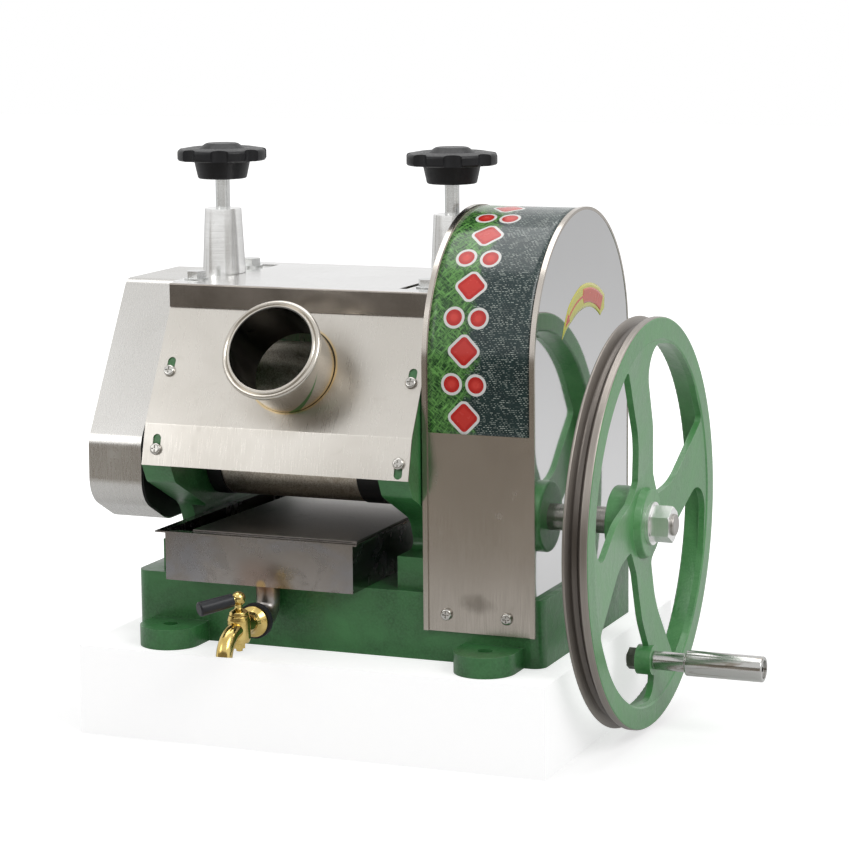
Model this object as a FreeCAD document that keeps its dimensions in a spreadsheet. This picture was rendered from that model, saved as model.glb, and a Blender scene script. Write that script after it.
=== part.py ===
# Hand-cranked three-roller cane juicer, in millimetres.
# +X points to the flywheel, +Y to the back and +Z up. The origin is the middle of the base's underside.
import FreeCAD, Part
import math
import os
import Sketcher

Vector = FreeCAD.Vector
Rotation = FreeCAD.Rotation

# Driving sizes, by the part of the machine that they belong to

driving_sizes = {
    "Base casting": {
        "BaseLength": 407.4, "BaseWidth": 255.2, "BaseHeight": 62.4, "BaseWall": 9.0, "BaseCorner": 12.0,
        "LugSpacingX": 314.0, "LugSpacingY": 300.0, "LugRadius": 28.5, "LugThickness": 19.0,
        "LugHoleRadius": 7.0,
    },
    "Side frames": {
        "LeftAdjusterX": -167.6, "RightAdjusterX": 69.1, "FrameOverhang": 9.4, "FrameThickness": 29.5,
        "LegThickness": 14.0, "LegHeight": 58.0, "FrameTop": 316.0, "FrameTopHalf": 92.3,
        "BendY": 152.1, "BendZ": 207.9, "NoseY": 161.8, "NoseZ": 170.5, "NoseDrop": 17.0, "NoseSet": 9.0,
        "ThroatY": 88.0, "ThroatZ": 121.0, "LegY": 76.0, "FootReach": 118.0, "FootHeight": 29.6,
        "LeftFootProud": 2.0, "LeftFootWidth": 19.0, "FootInner": 44.0, "FootRib": 8.0, "SlotHalf": 30.0,
        "SlotFloor": 203.0, "HubRadius": 30.0, "LeftHubLength": 9.5, "RightHubLength": 25.0,
        "CrankHubRadius": 26.0, "FrameCornerRound": 4.0, "NoseRound": 9.0, "ThroatRound": 24.0,
        "LegRound": 8.0, "FootRound": 6.0, "FootBoltInset": 20.0, "FootBoltRadius": 5.0,
        "FootBoltHead": 6.4, "FootBoltAcross": 17.0, "FootBoltReach": 12.0,
    },
    "Rollers": {
        "BarrelStart": -130.0, "BarrelEnd": 9.0, "BarrelRadius": 37.8, "RollerOffsetY": 56.0,
        "JournalRadius": 15.0, "SeatRadius": 14.0, "SeatFlat": 11.0, "ShoulderRadius": 20.0,
        "CollarRadius": 39.0, "LeftCollarLength": 14.5, "RightCollarLength": 22.0, "BushWall": 5.0,
        "RunningFit": 0.05, "ClearFit": 0.3, "SideGap": 0.6, "BlockHeight": 58.0, "BlockFit": 0.1,
        "TurnerTop": 187.0, "TurnerHalf": 15.0, "TurnerDepth": 46.0,
    },
    "Gears": {
        "GearModule": 3.0, "RollerTeeth": 28.0, "MainTeeth": 62.0, "PinionTeeth": 15.0,
        "PressureAngle": 20.0, "GearBacklash": 0.25, "RollerGearWidth": 24.0, "RollerGearGap": 21.0,
        "MainGearStart": 108.0, "MainGearWidth": 24.0, "MainHubRadius": 28.0, "MainHubExtra": 6.0,
        "MainWeb": 10.0, "MainRim": 12.0, "PinionExtra": 4.0, "KeyWidth": 8.0, "KeyHeight": 7.0,
    },
    "Crank shaft": {
        "CrankZ": 114.0, "ShaftRadius": 12.5, "ShaftThreadRadius": 10.0, "CrankBushWall": 4.5,
        "BracketStart": 150.0, "BracketWidth": 30.0, "BracketFootHalf": 66.0, "BracketFootHeight": 14.0,
        "BracketHubRadius": 28.0, "BracketBoltInset": 11.0,
    },
    "Flywheel": {
        "RimRadius": 190.5, "RimFace": 267.0, "RimWidth": 24.0, "RimDepth": 21.5, "GrooveWidth": 14.5,
        "GrooveDepth": 8.0, "GrooveFloor": 5.0, "GrooveShift": 2.2, "WebFace": 257.5, "WebThickness": 6.0,
        "WebHub": 45.0, "WebRimFace": 266.0, "RearBossStart": 229.0, "RearBossRadius": 33.5,
        "FrontBossRadius": 34.0, "FrontBossEnd": 264.0,
        "WasherRadius": 20.0, "WasherThickness": 3.0, "NutAcross": 30.0, "NutHeight": 18.0, "ThreadEnd": 3.0,
        "WindowHubLead": 44.0, "WindowHubTrail": 49.0, "WindowWaistLead": 84.0, "WindowWaistTrail": 90.0,
    },
    "Handle": {
        "HandleY": 2.0, "HandleInset": 60.9, "HandlePadRadius": 14.0, "HandlePadHeight": 9.0,
        "HandleNeckRadius": 8.75, "HandleNeckLength": 31.5, "HandleGripRadius": 12.0,
        "HandleGripLength": 73.5, "HandleSpindleRadius": 7.0, "HandleBoltRadius": 6.0,
        "HandleCapDepth": 5.0, "HandleCapRadius": 8.5, "HandleNutAcross": 18.0, "HandleNutHeight": 9.0,
        "HandleScrewHead": 3.2, "HandleSocketAcross": 5.0,
    },
    "Adjusters": {
        "CapThickness": 14.8, "CapHalfLength": 76.0, "CapOverhang": 17.0, "BossFootRadius": 20.75,
        "BossTopRadius": 17.5, "BossTop": 394.0, "StudRadius": 6.9, "StudFit": 0.1, "PadRadius": 9.0,
        "PadHeight": 6.0, "KnobBottom": 422.7, "KnobHubRadius": 27.0, "KnobHubHeight": 17.3,
        "KnobRadius": 43.0, "KnobRimHeight": 12.5, "KnobDome": 4.0, "KnobDomeRadius": 20.0,
        "KnobLobes": 8.0, "ScallopRadius": 11.0, "ScallopReach": 49.0, "CapBoltY": 60.0,
        "CapBoltRadius": 5.0, "CapBoltAcross": 17.0, "CapBoltHead": 6.8, "CapBoltLength": 42.0,
        "CapWasherRadius": 11.5, "CapWasherThickness": 2.2,
    },
    "Sheet covers": {
        "SheetY": 1.4, "Sheet": 1.2, "CoverTop": 332.0, "CoverHalf": 98.5, "CoverLip": 22.3,
        "CoverStart": -176.6, "CoverEnd": 90.0, "NotchReach": 22.4, "NotchHalf": 76.5,
        "PlateTopDrop": 18.0, "BackLipY": 22.0, "BackLipZ": 12.0, "BackScrewDrop": 92.0,
        "TubeX": -39.1, "TubeZ": 259.3, "TubeRadius": 41.3, "TubeWall": 1.5, "TubeLength": 54.0,
        "TubeInside": 8.0, "TubeBead": 6.5, "TubeBeadLength": 7.0, "TubeSeam": 1.2,
        "ScrewInset": 14.0, "RightScrewInset": 10.0,
        "UpperScrewZ": 253.0, "LowerScrewZ": 185.0, "SlotWidth": 8.0, "SlotLength": 18.0, "ScrewRadius": 3.0,
        "ScrewLength": 14.0, "ScrewHeadRadius": 5.8, "ScrewHeadHeight": 3.6, "CrossWidth": 1.3,
        "CrossLength": 6.4, "CrossDepth": 1.8, "PlateEndGap": 1.5,
    },
    "Gear covers": {
        "ArchStart": 91.0, "ArchEnd": 198.0, "ArchHalf": 131.5, "ArchCentreZ": 270.8, "SkirtBottom": 29.0,
        "BeadWidth": 4.6, "BeadHeight": 1.6, "ArchScrewInset": 22.0, "ArchFarInset": 27.0,
        "ArchScrewZ": 45.0, "ArchPlateGap": 0.4,
        "ShaftHoleRadius": 16.0, "LeftCoverStart": -243.0, "LeftCoverEnd": -188.0, "LeftCoverTop": 330.0,
        "LeftTopHalf": 55.6, "LeftSideY": 139.5, "LeftSideZ": 187.0, "LeftBottom": 105.0,
        "LeftBottomHalf": 92.0, "LeftLowY": 142.7, "LeftLowZ": 158.0, "PostRadius": 6.0,
        "PostY": 118.0, "PostZ": 152.0,
    },
    "Juice side": {
        "TrayBottomGap": 0.4, "TrayHeight": 47.0, "TrayFrontY": 158.0, "TrayLeft": -156.5,
        "TrayRight": 32.5, "TrayBackLeft": -148.0, "TrayBackY": 94.0, "TrayFlange": 7.0, "TraySheet": 1.4,
        "StrainerLeft": -129.0, "StrainerInset": 0.8, "PipeX": -59.5, "PipeY": 143.0, "PipeRadius": 11.0,
        "PipeBore": 9.0, "ElbowRadius": 14.0, "TapZ": 34.0, "PipeEndY": 168.0, "TapWasherThickness": 5.0,
        "TapWasherRadius": 16.3, "TapFlangeRadius": 14.4, "TapFlangeThickness": 3.0, "TapNeckRadius": 8.5,
        "BarrelY": 205.0, "TapBarrelRadius": 10.5, "TapBarrelHalf": 12.5, "SpoutRadius": 7.6,
        "SpoutBore": 5.0, "SpoutBend": 24.0, "PlugRadius": 6.6, "PlugTaper": 0.8,
        "PlugHead": 3.5, "BallZ": 62.0, "BallRadius": 6.4, "LeverTurn": 52.0, "LeverSlope": 8.0,
        "LeverLength": 40.0, "SleeveRadius": 6.8, "SleeveStart": 6.2, "StemRadius": 4.0,
        "TapNutAcross": 10.0, "TapNutHeight": 5.0, "TapTailRadius": 3.0, "TapTailLength": 8.0,
    },
}

doc = FreeCAD.newDocument("CaneJuicer")
sheet = doc.addObject("Spreadsheet::Sheet", "Sizes")
finished = []


class Measure:
    """A number together with the sheet formula that gives it."""

    def __init__(self, value, formula):
        self.value = float(value)
        self.formula = formula

    def __float__(self):
        return self.value

    def __neg__(self):
        return Measure(-self.value, "(0 - " + self.formula + ")")

    def __add__(self, other):
        other = measure(other)
        return Measure(self.value + other.value, "(" + self.formula + " + " + other.formula + ")")

    def __sub__(self, other):
        other = measure(other)
        return Measure(self.value - other.value, "(" + self.formula + " - " + other.formula + ")")

    def __mul__(self, other):
        other = measure(other)
        return Measure(self.value * other.value, "(" + self.formula + " * " + other.formula + ")")

    def __truediv__(self, other):
        other = measure(other)
        return Measure(self.value / other.value, "(" + self.formula + " / " + other.formula + ")")

    def __rsub__(self, other):
        return measure(other) - self

    def __rtruediv__(self, other):
        return measure(other) / self

    __radd__ = __add__
    __rmul__ = __mul__


def measure(number):
    """Plain numbers become measures too."""
    if isinstance(number, Measure):
        return number
    text = repr(float(number))
    return Measure(number, text if number >= 0 else "(0 - " + repr(-float(number)) + ")")


def square_root(number):
    return Measure(math.sqrt(number.value), "sqrt(" + number.formula + ")")


def fill_sheet():
    """Write each driving size in the sheet under its own name and return them as measures."""
    sizes = {}
    row = 1
    for heading, group in driving_sizes.items():
        sheet.set("A" + str(row), heading)
        row += 1
        for name, value in group.items():
            sheet.set("A" + str(row), name)
            sheet.set("B" + str(row), repr(value))
            sheet.setAlias("B" + str(row), name)
            sizes[name] = Measure(value, "Sizes." + name)
            row += 1
    doc.recompute()
    return sizes


size = fill_sheet()


# Building helpers

def bind(thing, name, amount):
    """Set a property and tie it to the sheet."""
    amount = measure(amount)
    thing.setExpression(name, amount.formula)


def place(thing, origin, rotation=None):
    """Turn a thing and move it to an origin that follows the sheet."""
    thing.Placement = FreeCAD.Placement(Vector(*[float(c) for c in origin]), rotation or Rotation())
    for letter, amount in zip("xyz", origin):
        bind(thing, "Placement.Base." + letter, amount)


turns = {
    "X": Rotation(Vector(0, 1, 0), 90),
    "Y": Rotation(Vector(1, 0, 0), -90),
    "Z": Rotation(),
}
turned_axes = {
    "X": Rotation(),
    "Y": Rotation(Vector(0, 0, 1), 90),
    "Z": Rotation(Vector(0, 1, 0), -90),
}


def cylinder(name, axis, radius, length, origin):
    rod = doc.addObject("Part::Cylinder", name)
    bind(rod, "Radius", radius)
    bind(rod, "Height", length)
    place(rod, origin, turns[axis] if isinstance(axis, str) else axis)
    return rod


def cone(name, axis, start_radius, end_radius, length, origin):
    taper = doc.addObject("Part::Cone", name)
    bind(taper, "Radius1", start_radius)
    bind(taper, "Radius2", end_radius)
    bind(taper, "Height", length)
    place(taper, origin, turns[axis])
    return taper


def box(name, origin, extent):
    block = doc.addObject("Part::Box", name)
    for side, amount in zip(("Length", "Width", "Height"), extent):
        bind(block, side, amount)
    place(block, origin)
    return block


def hexagon(name, axis, across, length, origin):
    prism = doc.addObject("Part::Prism", name)
    prism.Polygon = 6
    bind(prism, "Circumradius", measure(across) / math.sqrt(3))
    bind(prism, "Height", length)
    place(prism, origin, turns[axis])
    return prism


def cut(name, base, *tools):
    """Take every tool away from the base."""
    tool = tools[0] if len(tools) == 1 else fuse(name + "_tools", *tools)
    result = doc.addObject("Part::Cut", name)
    result.Base = base
    result.Tool = tool
    return result


def fuse(name, *pieces):
    result = doc.addObject("Part::MultiFuse", name)
    result.Shapes = list(pieces)
    result.Refine = True
    return result


def group(name, *pieces):
    """Several separate solids that share one node."""
    result = doc.addObject("Part::Compound", name)
    result.Links = list(pieces)
    return result


def new_sketch(body, role, offset=0):
    """A sketch on one of the body's own planes, moved along the plane's normal."""
    sketch = body.newObject("Sketcher::SketchObject", body.Name + "_sketch")
    plane = [item for item in body.Origin.OriginFeatures if item.Role == role][0]
    sketch.AttachmentSupport = [(plane, "")]
    sketch.MapMode = "FlatFace"
    bind(sketch, "AttachmentOffset.Base.z", offset)
    return sketch


def pin(sketch, geometry, point, spot):
    """Fix a point of a sketch at a spot that follows the sheet."""
    for kind, amount in zip(("DistanceX", "DistanceY"), spot):
        number = sketch.addConstraint(Sketcher.Constraint(kind, -1, 1, geometry, point, float(amount)))
        sketch.setExpression("Constraints[" + str(number) + "]", measure(amount).formula)


def corner(spot, before, after, radius):
    """Centre, start and end of the arc that rounds one corner of an outline."""
    along_back = (before - spot).normalize()
    along_on = (after - spot).normalize()
    half = along_back.getAngle(along_on) / 2
    reach = radius / math.tan(half)
    centre = spot + (along_back + along_on).normalize() * (radius / math.sin(half))
    return centre, spot + along_back * reach, spot + along_on * reach


def draw_outline(sketch, corners):
    """Draw a closed outline from (x, y, radius) corners, each tied to the sheet."""
    spots = [Vector(float(c[0]), float(c[1]), 0) for c in corners]
    radii = [measure(c[2]) if len(c) > 2 else measure(0) for c in corners]
    count = len(corners)
    rounds = []
    for i in range(count):
        after = spots[(i + 1) % count]
        rounds.append(corner(spots[i], spots[i - 1], after, radii[i].value))
    lines = []
    for i in range(count):
        line = Part.LineSegment(rounds[i][2], rounds[(i + 1) % count][1])
        lines.append(sketch.addGeometry(line, False))
    for i in range(count):
        before, after = lines[i - 1], lines[i]
        if radii[i].value == 0:
            sketch.addConstraint(Sketcher.Constraint("Coincident", before, 2, after, 1))
            pin(sketch, after, 1, corners[i])
            continue
        centre, start, end = rounds[i]
        first = math.atan2(start.y - centre.y, start.x - centre.x)
        last = math.atan2(end.y - centre.y, end.x - centre.x)
        turn = (last - first + math.pi) % (2 * math.pi) - math.pi
        circle = Part.Circle(centre, Vector(0, 0, 1), radii[i].value)
        left_turn = turn > 0
        if left_turn:
            arc = Part.ArcOfCircle(circle, first, first + turn)
            near, far = 1, 2
        else:
            arc = Part.ArcOfCircle(circle, last, last - turn)
            near, far = 2, 1
        number = sketch.addGeometry(arc, False)
        sketch.addConstraint(Sketcher.Constraint("Tangent", before, 2, number, near))
        sketch.addConstraint(Sketcher.Constraint("Tangent", number, far, after, 1))
        bend = sketch.addConstraint(Sketcher.Constraint("Radius", number, radii[i].value))
        sketch.setExpression("Constraints[" + str(bend) + "]", radii[i].formula)
        spot = sketch.addGeometry(Part.Point(spots[i]), True)
        sketch.addConstraint(Sketcher.Constraint("PointOnObject", spot, 1, before))
        sketch.addConstraint(Sketcher.Constraint("PointOnObject", spot, 1, after))
        pin(sketch, spot, 1, corners[i])


def prism(name, role, corners, start, length):
    """A body padded from an outline. YZ outlines are padded along +X, XY outlines along +Z."""
    body = doc.addObject("PartDesign::Body", name)
    sketch = new_sketch(body, role, start)
    draw_outline(sketch, corners)
    pad = body.newObject("PartDesign::Pad", name + "_pad")
    pad.Profile = sketch
    bind(pad, "Length", length)
    return body


def turned(name, axis, corners, origin):
    """A body revolved from (along, radius, round) corners about an axis through the origin."""
    body = doc.addObject("PartDesign::Body", name)
    sketch = new_sketch(body, "XY_Plane")
    draw_outline(sketch, corners)
    revolution = body.newObject("PartDesign::Revolution", name + "_turn")
    revolution.Profile = sketch
    revolution.ReferenceAxis = (sketch, ["H_Axis"])
    revolution.Angle = 360
    place(body, origin, turned_axes[axis] if isinstance(axis, str) else axis)
    return body


def hollow(body, wall, side):
    """Turn a solid body into a shell that is open at its outermost face on one side."""
    doc.recompute()
    solid = body.Tip
    faces = solid.Shape.Faces
    outermost = max(range(len(faces)), key=lambda i: faces[i].CenterOfMass.dot(side))
    shell = body.newObject("PartDesign::Thickness", body.Name + "_shell")
    shell.Base = (solid, ["Face" + str(outermost + 1)])
    bind(shell, "Value", wall)
    shell.Reversed = True
    shell.Join = 1
    return body


def copies(name, template, placements):
    """Copies of one template at several places, as separate solids of one group."""
    links = []
    for i, (origin, rotation) in enumerate(placements):
        link = doc.addObject("App::Link", name + "_copy_" + str(i + 1))
        link.LinkedObject = template
        link.LinkTransform = True
        place(link, origin, rotation)
        links.append(link)
    return group(name, *links)


def finish(thing, label):
    """Name a finished sub-part."""
    thing.Label = label
    finished.append(thing)
    return thing


def mirrored(corners):
    """The same outline on the other side of the vertical axis, in reverse order."""
    return [(-c[0],) + tuple(c[1:]) for c in reversed(corners)]


# Places that several pieces share

base_top = size["BaseHeight"]
crank_z = size["CrankZ"]
gear_module = size["GearModule"]
pinion_pitch = gear_module * size["PinionTeeth"] / 2
main_pitch = gear_module * size["MainTeeth"] / 2
roller_pitch = gear_module * size["RollerTeeth"] / 2
top_roller_z = crank_z + pinion_pitch + main_pitch
gear_distance = roller_pitch * 2
roller_y = size["RollerOffsetY"]
roller_drop = square_root(gear_distance * gear_distance - roller_y * roller_y)
low_roller_z = top_roller_z - roller_drop
left_frame_x = size["LeftAdjusterX"] - size["FrameOverhang"]
right_frame_x = size["RightAdjusterX"] - size["FrameOverhang"]
frame_thickness = size["FrameThickness"]
left_frame_end = left_frame_x + frame_thickness
right_frame_end = right_frame_x + frame_thickness
bush_radius = size["JournalRadius"] + size["BushWall"]
crank_bush_radius = size["ShaftRadius"] + size["CrankBushWall"]
block_top = size["SlotFloor"] + size["BlockHeight"]
cap_top = size["FrameTop"] + size["CapThickness"]
bend_y = size["BendY"]
bend_z = size["BendZ"]
# run and rise of the sloping front, and its slope from the vertical
front_run = bend_y - size["FrameTopHalf"]
front_rise = size["FrameTop"] - bend_z
front_slope = math.degrees(math.atan2(float(front_run), float(front_rise)))
nose_slope = math.degrees(math.atan2(
    float(size["NoseY"] - bend_y), float(bend_z - size["NoseZ"])))


def front_y(height):
    """How far in front of the middle plane the frames' upper face is, at a height."""
    return size["FrameTopHalf"] + (size["FrameTop"] - height) * front_run / front_rise


def nose_y(height):
    """The same for the steeper face below the bend."""
    return bend_y + (bend_z - height) * (size["NoseY"] - bend_y) / (bend_z - size["NoseZ"])


# Base

def make_base():
    half_x = size["BaseLength"] / 2
    half_y = size["BaseWidth"] / 2
    bend = size["BaseCorner"]
    rim = [(-half_x, -half_y, bend), (half_x, -half_y, bend), (half_x, half_y, bend), (-half_x, half_y, bend)]
    block = prism("base_block", "XY_Plane", rim, 0, base_top)
    hollow(block, size["BaseWall"], Vector(0, 0, -1))
    lugs = []
    holes = []
    lug_x = size["LugSpacingX"] / 2
    lug_y = size["LugSpacingY"] / 2
    radius = size["LugRadius"]
    root = half_y - size["BaseWall"]
    # just under a half round, so that a short straight stays between the two arcs
    tip_round = radius * 0.999
    for side_x in (-1, 1):
        for side_y in (-1, 1):
            x = lug_x * side_x
            tag = str(len(lugs) + 1)
            y_root = root * side_y
            y_tip = (lug_y + radius) * side_y
            outline = [(x - radius, y_root), (x + radius, y_root),
                       (x + radius, y_tip, tip_round), (x - radius, y_tip, tip_round)]
            lugs.append(prism("lug_" + tag, "XY_Plane", outline, 0, size["LugThickness"]))
            holes.append(cylinder("lug_hole_" + tag, "Z", size["LugHoleRadius"], size["LugThickness"] * 3,
                                  (x, lug_y * side_y, -size["LugThickness"])))
    casting = fuse("base_with_lugs", block, *lugs)
    return cut("base_drilled", casting, foot_bolt_holes(), arch_screw_holes(), *holes)


# Side frames

def frame_outline():
    """The side frame seen from the side, with the slot for the bearing block open at the top."""
    nose_back = size["NoseY"] - size["NoseSet"]
    nose_low = size["NoseZ"] - size["NoseDrop"]
    foot_top = base_top + size["FootHeight"]
    front = [
        (-size["SlotHalf"], size["SlotFloor"]),
        (-size["SlotHalf"], size["FrameTop"]),
        (-size["FrameTopHalf"], size["FrameTop"], size["FrameCornerRound"]),
        (-bend_y, bend_z),
        (-size["NoseY"], size["NoseZ"], size["FrameCornerRound"]),
        (-nose_back, nose_low, size["NoseRound"]),
        (-size["ThroatY"], size["ThroatZ"], size["ThroatRound"]),
        (-size["LegY"], foot_top, size["LegRound"]),
        (-size["FootReach"], foot_top, size["FootRound"]),
        (-size["FootReach"], base_top),
        (-size["FootInner"], base_top),
        (-size["FootInner"] + size["FootRib"], foot_top, size["FootRound"]),
    ]
    return front + mirrored(front)


def make_frame(side, frame_x, hub_length, foot_start, foot_length):
    """One cast side frame: plate, thinner legs, feet and bearing hubs."""
    outline = frame_outline()
    plate = prism(side + "_frame_plate", "YZ_Plane", outline, frame_x, frame_thickness)
    reach = size["FootReach"]
    relief = box(side + "_leg_relief", (frame_x + size["LegThickness"], -size["NoseY"], base_top - 1),
                 (frame_thickness, size["NoseY"] * 2, size["LegHeight"] + 1))
    slim = cut(side + "_frame_slim", plate, relief)
    pieces = [slim]
    foot_depth = reach - size["FootInner"] - size["FootRib"]
    for tag, y in (("front", -reach), ("back", reach - foot_depth)):
        pieces.append(box(side + "_foot_" + tag, (foot_start, y, base_top),
                          (foot_length, foot_depth, size["FootHeight"])))
    for tag, y in (("front", -roller_y), ("back", roller_y)):
        pieces.append(cylinder(side + "_hub_" + tag, "X", size["HubRadius"], hub_length + frame_thickness,
                               (frame_x - hub_length, y, low_roller_z)))
    bores = []
    for tag, y in (("front", -roller_y), ("back", roller_y)):
        bores.append(cylinder(side + "_bore_" + tag, "X", bush_radius, hub_length + frame_thickness + 2,
                              (frame_x - hub_length - 1, y, low_roller_z)))
    if side == "right":
        pieces.append(cylinder("right_crank_hub", "X", size["CrankHubRadius"], frame_thickness,
                               (frame_x, 0, crank_z)))
        bores.append(cylinder("right_crank_bore", "X", crank_bush_radius, frame_thickness + 2,
                              (frame_x - 1, 0, crank_z)))
    casting = fuse(side + "_frame_casting", *pieces)
    return cut(side + "_frame_bored", casting, cap_bolt_holes(side), plate_screw_holes(side),
               foot_bolt_holes(side), *bores)


# Fasteners

def foot_bolt_places():
    """Where each hold-down bolt meets the inside of the base: two per frame and two for the bracket."""
    y = size["FootReach"] - size["FootBoltInset"]
    left = left_frame_x - size["LeftFootProud"] + size["LeftFootWidth"] / 2
    right = right_frame_x + frame_thickness / 2
    bracket = size["BracketStart"] + size["BracketWidth"] / 2
    bracket_y = size["BracketFootHalf"] - size["BracketBoltInset"]
    places = []
    for x, reach in ((left, y), (right, y), (bracket, bracket_y)):
        for side in (-1, 1):
            places.append(((x, reach * side, base_top - size["BaseWall"]), Rotation()))
    return places


def foot_bolt_holes(side="base"):
    """Holes for the hold-down bolts, blind in the feet that they are screwed into."""
    drill = cylinder("foot_drill_" + side, "Z", size["FootBoltRadius"] + size["RunningFit"],
                     size["BaseWall"] + size["FootBoltReach"] + 2, (0, 0, -1))
    return copies("foot_holes_" + side, drill, foot_bolt_places())


def make_foot_bolts():
    """Hexagon bolts that come up through the base, with their heads inside its hollow."""
    head_height = size["FootBoltHead"]
    shank = cylinder("foot_bolt_shank", "Z", size["FootBoltRadius"], size["BaseWall"] + size["FootBoltReach"],
                     (0, 0, 0))
    head = hexagon("foot_bolt_hex", "Z", size["FootBoltAcross"], head_height, (0, 0, -head_height))
    return copies("foot_bolt_set", fuse("foot_bolt", shank, head), foot_bolt_places())


def adjuster_x(side):
    return size["LeftAdjusterX"] if side == "left" else size["RightAdjusterX"]


def cap_bolt_holes(side):
    drill = cylinder("cap_drill_" + side, "Z", size["CapBoltRadius"] + size["RunningFit"],
                     size["CapBoltLength"] * 2, (0, 0, 0))
    low = cap_top - size["CapBoltLength"] - 2
    places = [((adjuster_x(side), size["CapBoltY"] * way, low), Rotation()) for way in (-1, 1)]
    return copies("cap_holes_" + side, drill, places)


def cap_bolt_places(height):
    places = []
    for side in ("left", "right"):
        for way in (-1, 1):
            places.append(((adjuster_x(side), size["CapBoltY"] * way, height), Rotation()))
    return places


def make_cap_bolts():
    length = size["CapBoltLength"]
    shank = cylinder("cap_bolt_shank", "Z", size["CapBoltRadius"], length, (0, 0, -length))
    head = hexagon("cap_bolt_hex", "Z", size["CapBoltAcross"], size["CapBoltHead"], (0, 0, 0))
    bolt = fuse("cap_bolt", shank, head)
    return copies("cap_bolt_set", bolt, cap_bolt_places(cap_top + size["CapWasherThickness"]))


def make_cap_washers():
    disc = cylinder("cap_washer_disc", "Z", size["CapWasherRadius"], size["CapWasherThickness"], (0, 0, 0))
    hole = cylinder("cap_washer_hole", "Z", size["CapBoltRadius"] + size["ClearFit"],
                    size["CapWasherThickness"] * 3, (0, 0, -size["CapWasherThickness"]))
    washer = cut("cap_washer", disc, hole)
    return copies("cap_washer_set", washer, cap_bolt_places(cap_top))


def tilt(way, slope):
    """Turn +Z to point out of the sloping plate, at the front for -1 and at the back for 1."""
    return Rotation(Vector(1, 0, 0), -way * (90 - slope))


def plate_screw_places(seated=False):
    """Places of the eight plate screws on the frames' sloping faces, or seated on the sheets there."""
    places = []
    left = left_frame_x + size["ScrewInset"]
    right = right_frame_end - size["RightScrewInset"]
    lower = size["FrameTop"] - size["BackScrewDrop"]
    for x in (left, right):
        for way in (-1, 1):
            high = size["UpperScrewZ"]
            spots = [(front_y(high), high, front_slope)]
            if way < 0:
                spots.append((nose_y(size["LowerScrewZ"]), size["LowerScrewZ"], nose_slope))
            else:
                spots.append((front_y(lower), lower, front_slope))
            for y, z, slope in spots:
                turn = math.radians(slope)
                out = size["SheetY"] * math.cos(turn) if seated else 0
                shift = out * math.cos(turn)
                lift = out * math.sin(turn)
                places.append(((x, (y + shift) * way, z + lift), tilt(way, slope)))
    return places


def plate_screw_holes(side):
    drill = cylinder("screw_drill_" + side, "Z", size["ScrewRadius"] + size["RunningFit"],
                     size["ScrewLength"] * 2, (0, 0, -size["ScrewLength"]))
    wanted = [item for item in plate_screw_places() if (float(item[0][0]) < 0) == (side == "left")]
    return copies("screw_holes_" + side, drill, wanted)


def arch_screw_places():
    """The four screws through the foot of the arch cover into the base."""
    places = []
    reach = size["ArchHalf"]
    for way in (-1, 1):
        for x in (size["ArchStart"] + size["ArchScrewInset"], size["ArchEnd"] - size["ArchFarInset"]):
            places.append(((x, reach * way, size["ArchScrewZ"]), tilt(way, 0)))
    return places


def arch_screw_holes():
    drill = cylinder("arch_drill", "Z", size["ScrewRadius"] + size["RunningFit"], size["ScrewLength"] * 2,
                     (0, 0, -size["ScrewLength"] * 1.5))
    return copies("arch_screw_holes", drill, arch_screw_places())


def post_screw_places():
    """The two screws that hold the left gear cover to its posts."""
    turn = Rotation(Vector(0, 1, 0), -90)
    return [((size["LeftCoverStart"], size["PostY"] * way, size["PostZ"]), turn) for way in (-1, 1)]


def make_screw():
    """Pan-head screw with a cross recess, its head's underside at the origin and +Z outwards."""
    shank = cylinder("screw_shank", "Z", size["ScrewRadius"], size["ScrewLength"],
                     (0, 0, -size["ScrewLength"]))
    height = size["ScrewHeadHeight"]
    radius = size["ScrewHeadRadius"]
    top_radius = radius * 0.86
    top_round = height * 0.55
    pan = turned("screw_pan", "Z",
                 [(0, 0), (0, radius, 0.6), (height, top_radius, top_round), (height, 0)], (0, 0, 0))
    solid = fuse("screw_solid", shank, pan)
    width = size["CrossWidth"]
    length = size["CrossLength"]
    floor = height - size["CrossDepth"]
    slot_a = box("cross_a", (-length / 2, -width / 2, floor), (length, width, height))
    slot_b = box("cross_b", (-width / 2, -length / 2, floor), (width, length, height))
    return cut("screw", solid, slot_a, slot_b)


# Bearing caps, adjusting screws and knobs

tip_radius = size["StudRadius"] * 0.7
tip_depth = size["PadHeight"] / 2


def make_cap(side):
    """The cap that closes the slot: a bar with the tall tapered boss that carries the screw."""
    x = adjuster_x(side)
    overhang = size["CapOverhang"]
    frame_x = left_frame_x if side == "left" else right_frame_x
    low = frame_x - size["FrameOverhang"]
    length = frame_thickness + size["FrameOverhang"]
    half = size["CapHalfLength"]
    bar = prism(side + "_cap_bar", "XY_Plane",
                [(low, -half, 6), (low + length, -half, 6), (low + length, half, 6), (low, half, 6)],
                size["FrameTop"], size["CapThickness"])
    boss = cone(side + "_cap_boss", "Z", size["BossFootRadius"], size["BossTopRadius"],
                size["BossTop"] - cap_top, (x, 0, cap_top))
    skirt = cylinder(side + "_cap_skirt", "Z", overhang, size["CapThickness"], (x, 0, size["FrameTop"]))
    solid = fuse(side + "_cap_solid", bar, boss, skirt)
    bore = cylinder(side + "_cap_bore", "Z", size["StudRadius"] + size["StudFit"],
                    size["BossTop"] - size["FrameTop"] + 2, (x, 0, size["FrameTop"] - 1))
    return cut(side + "_cap", solid, bore, cap_bolt_holes(side))


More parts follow.
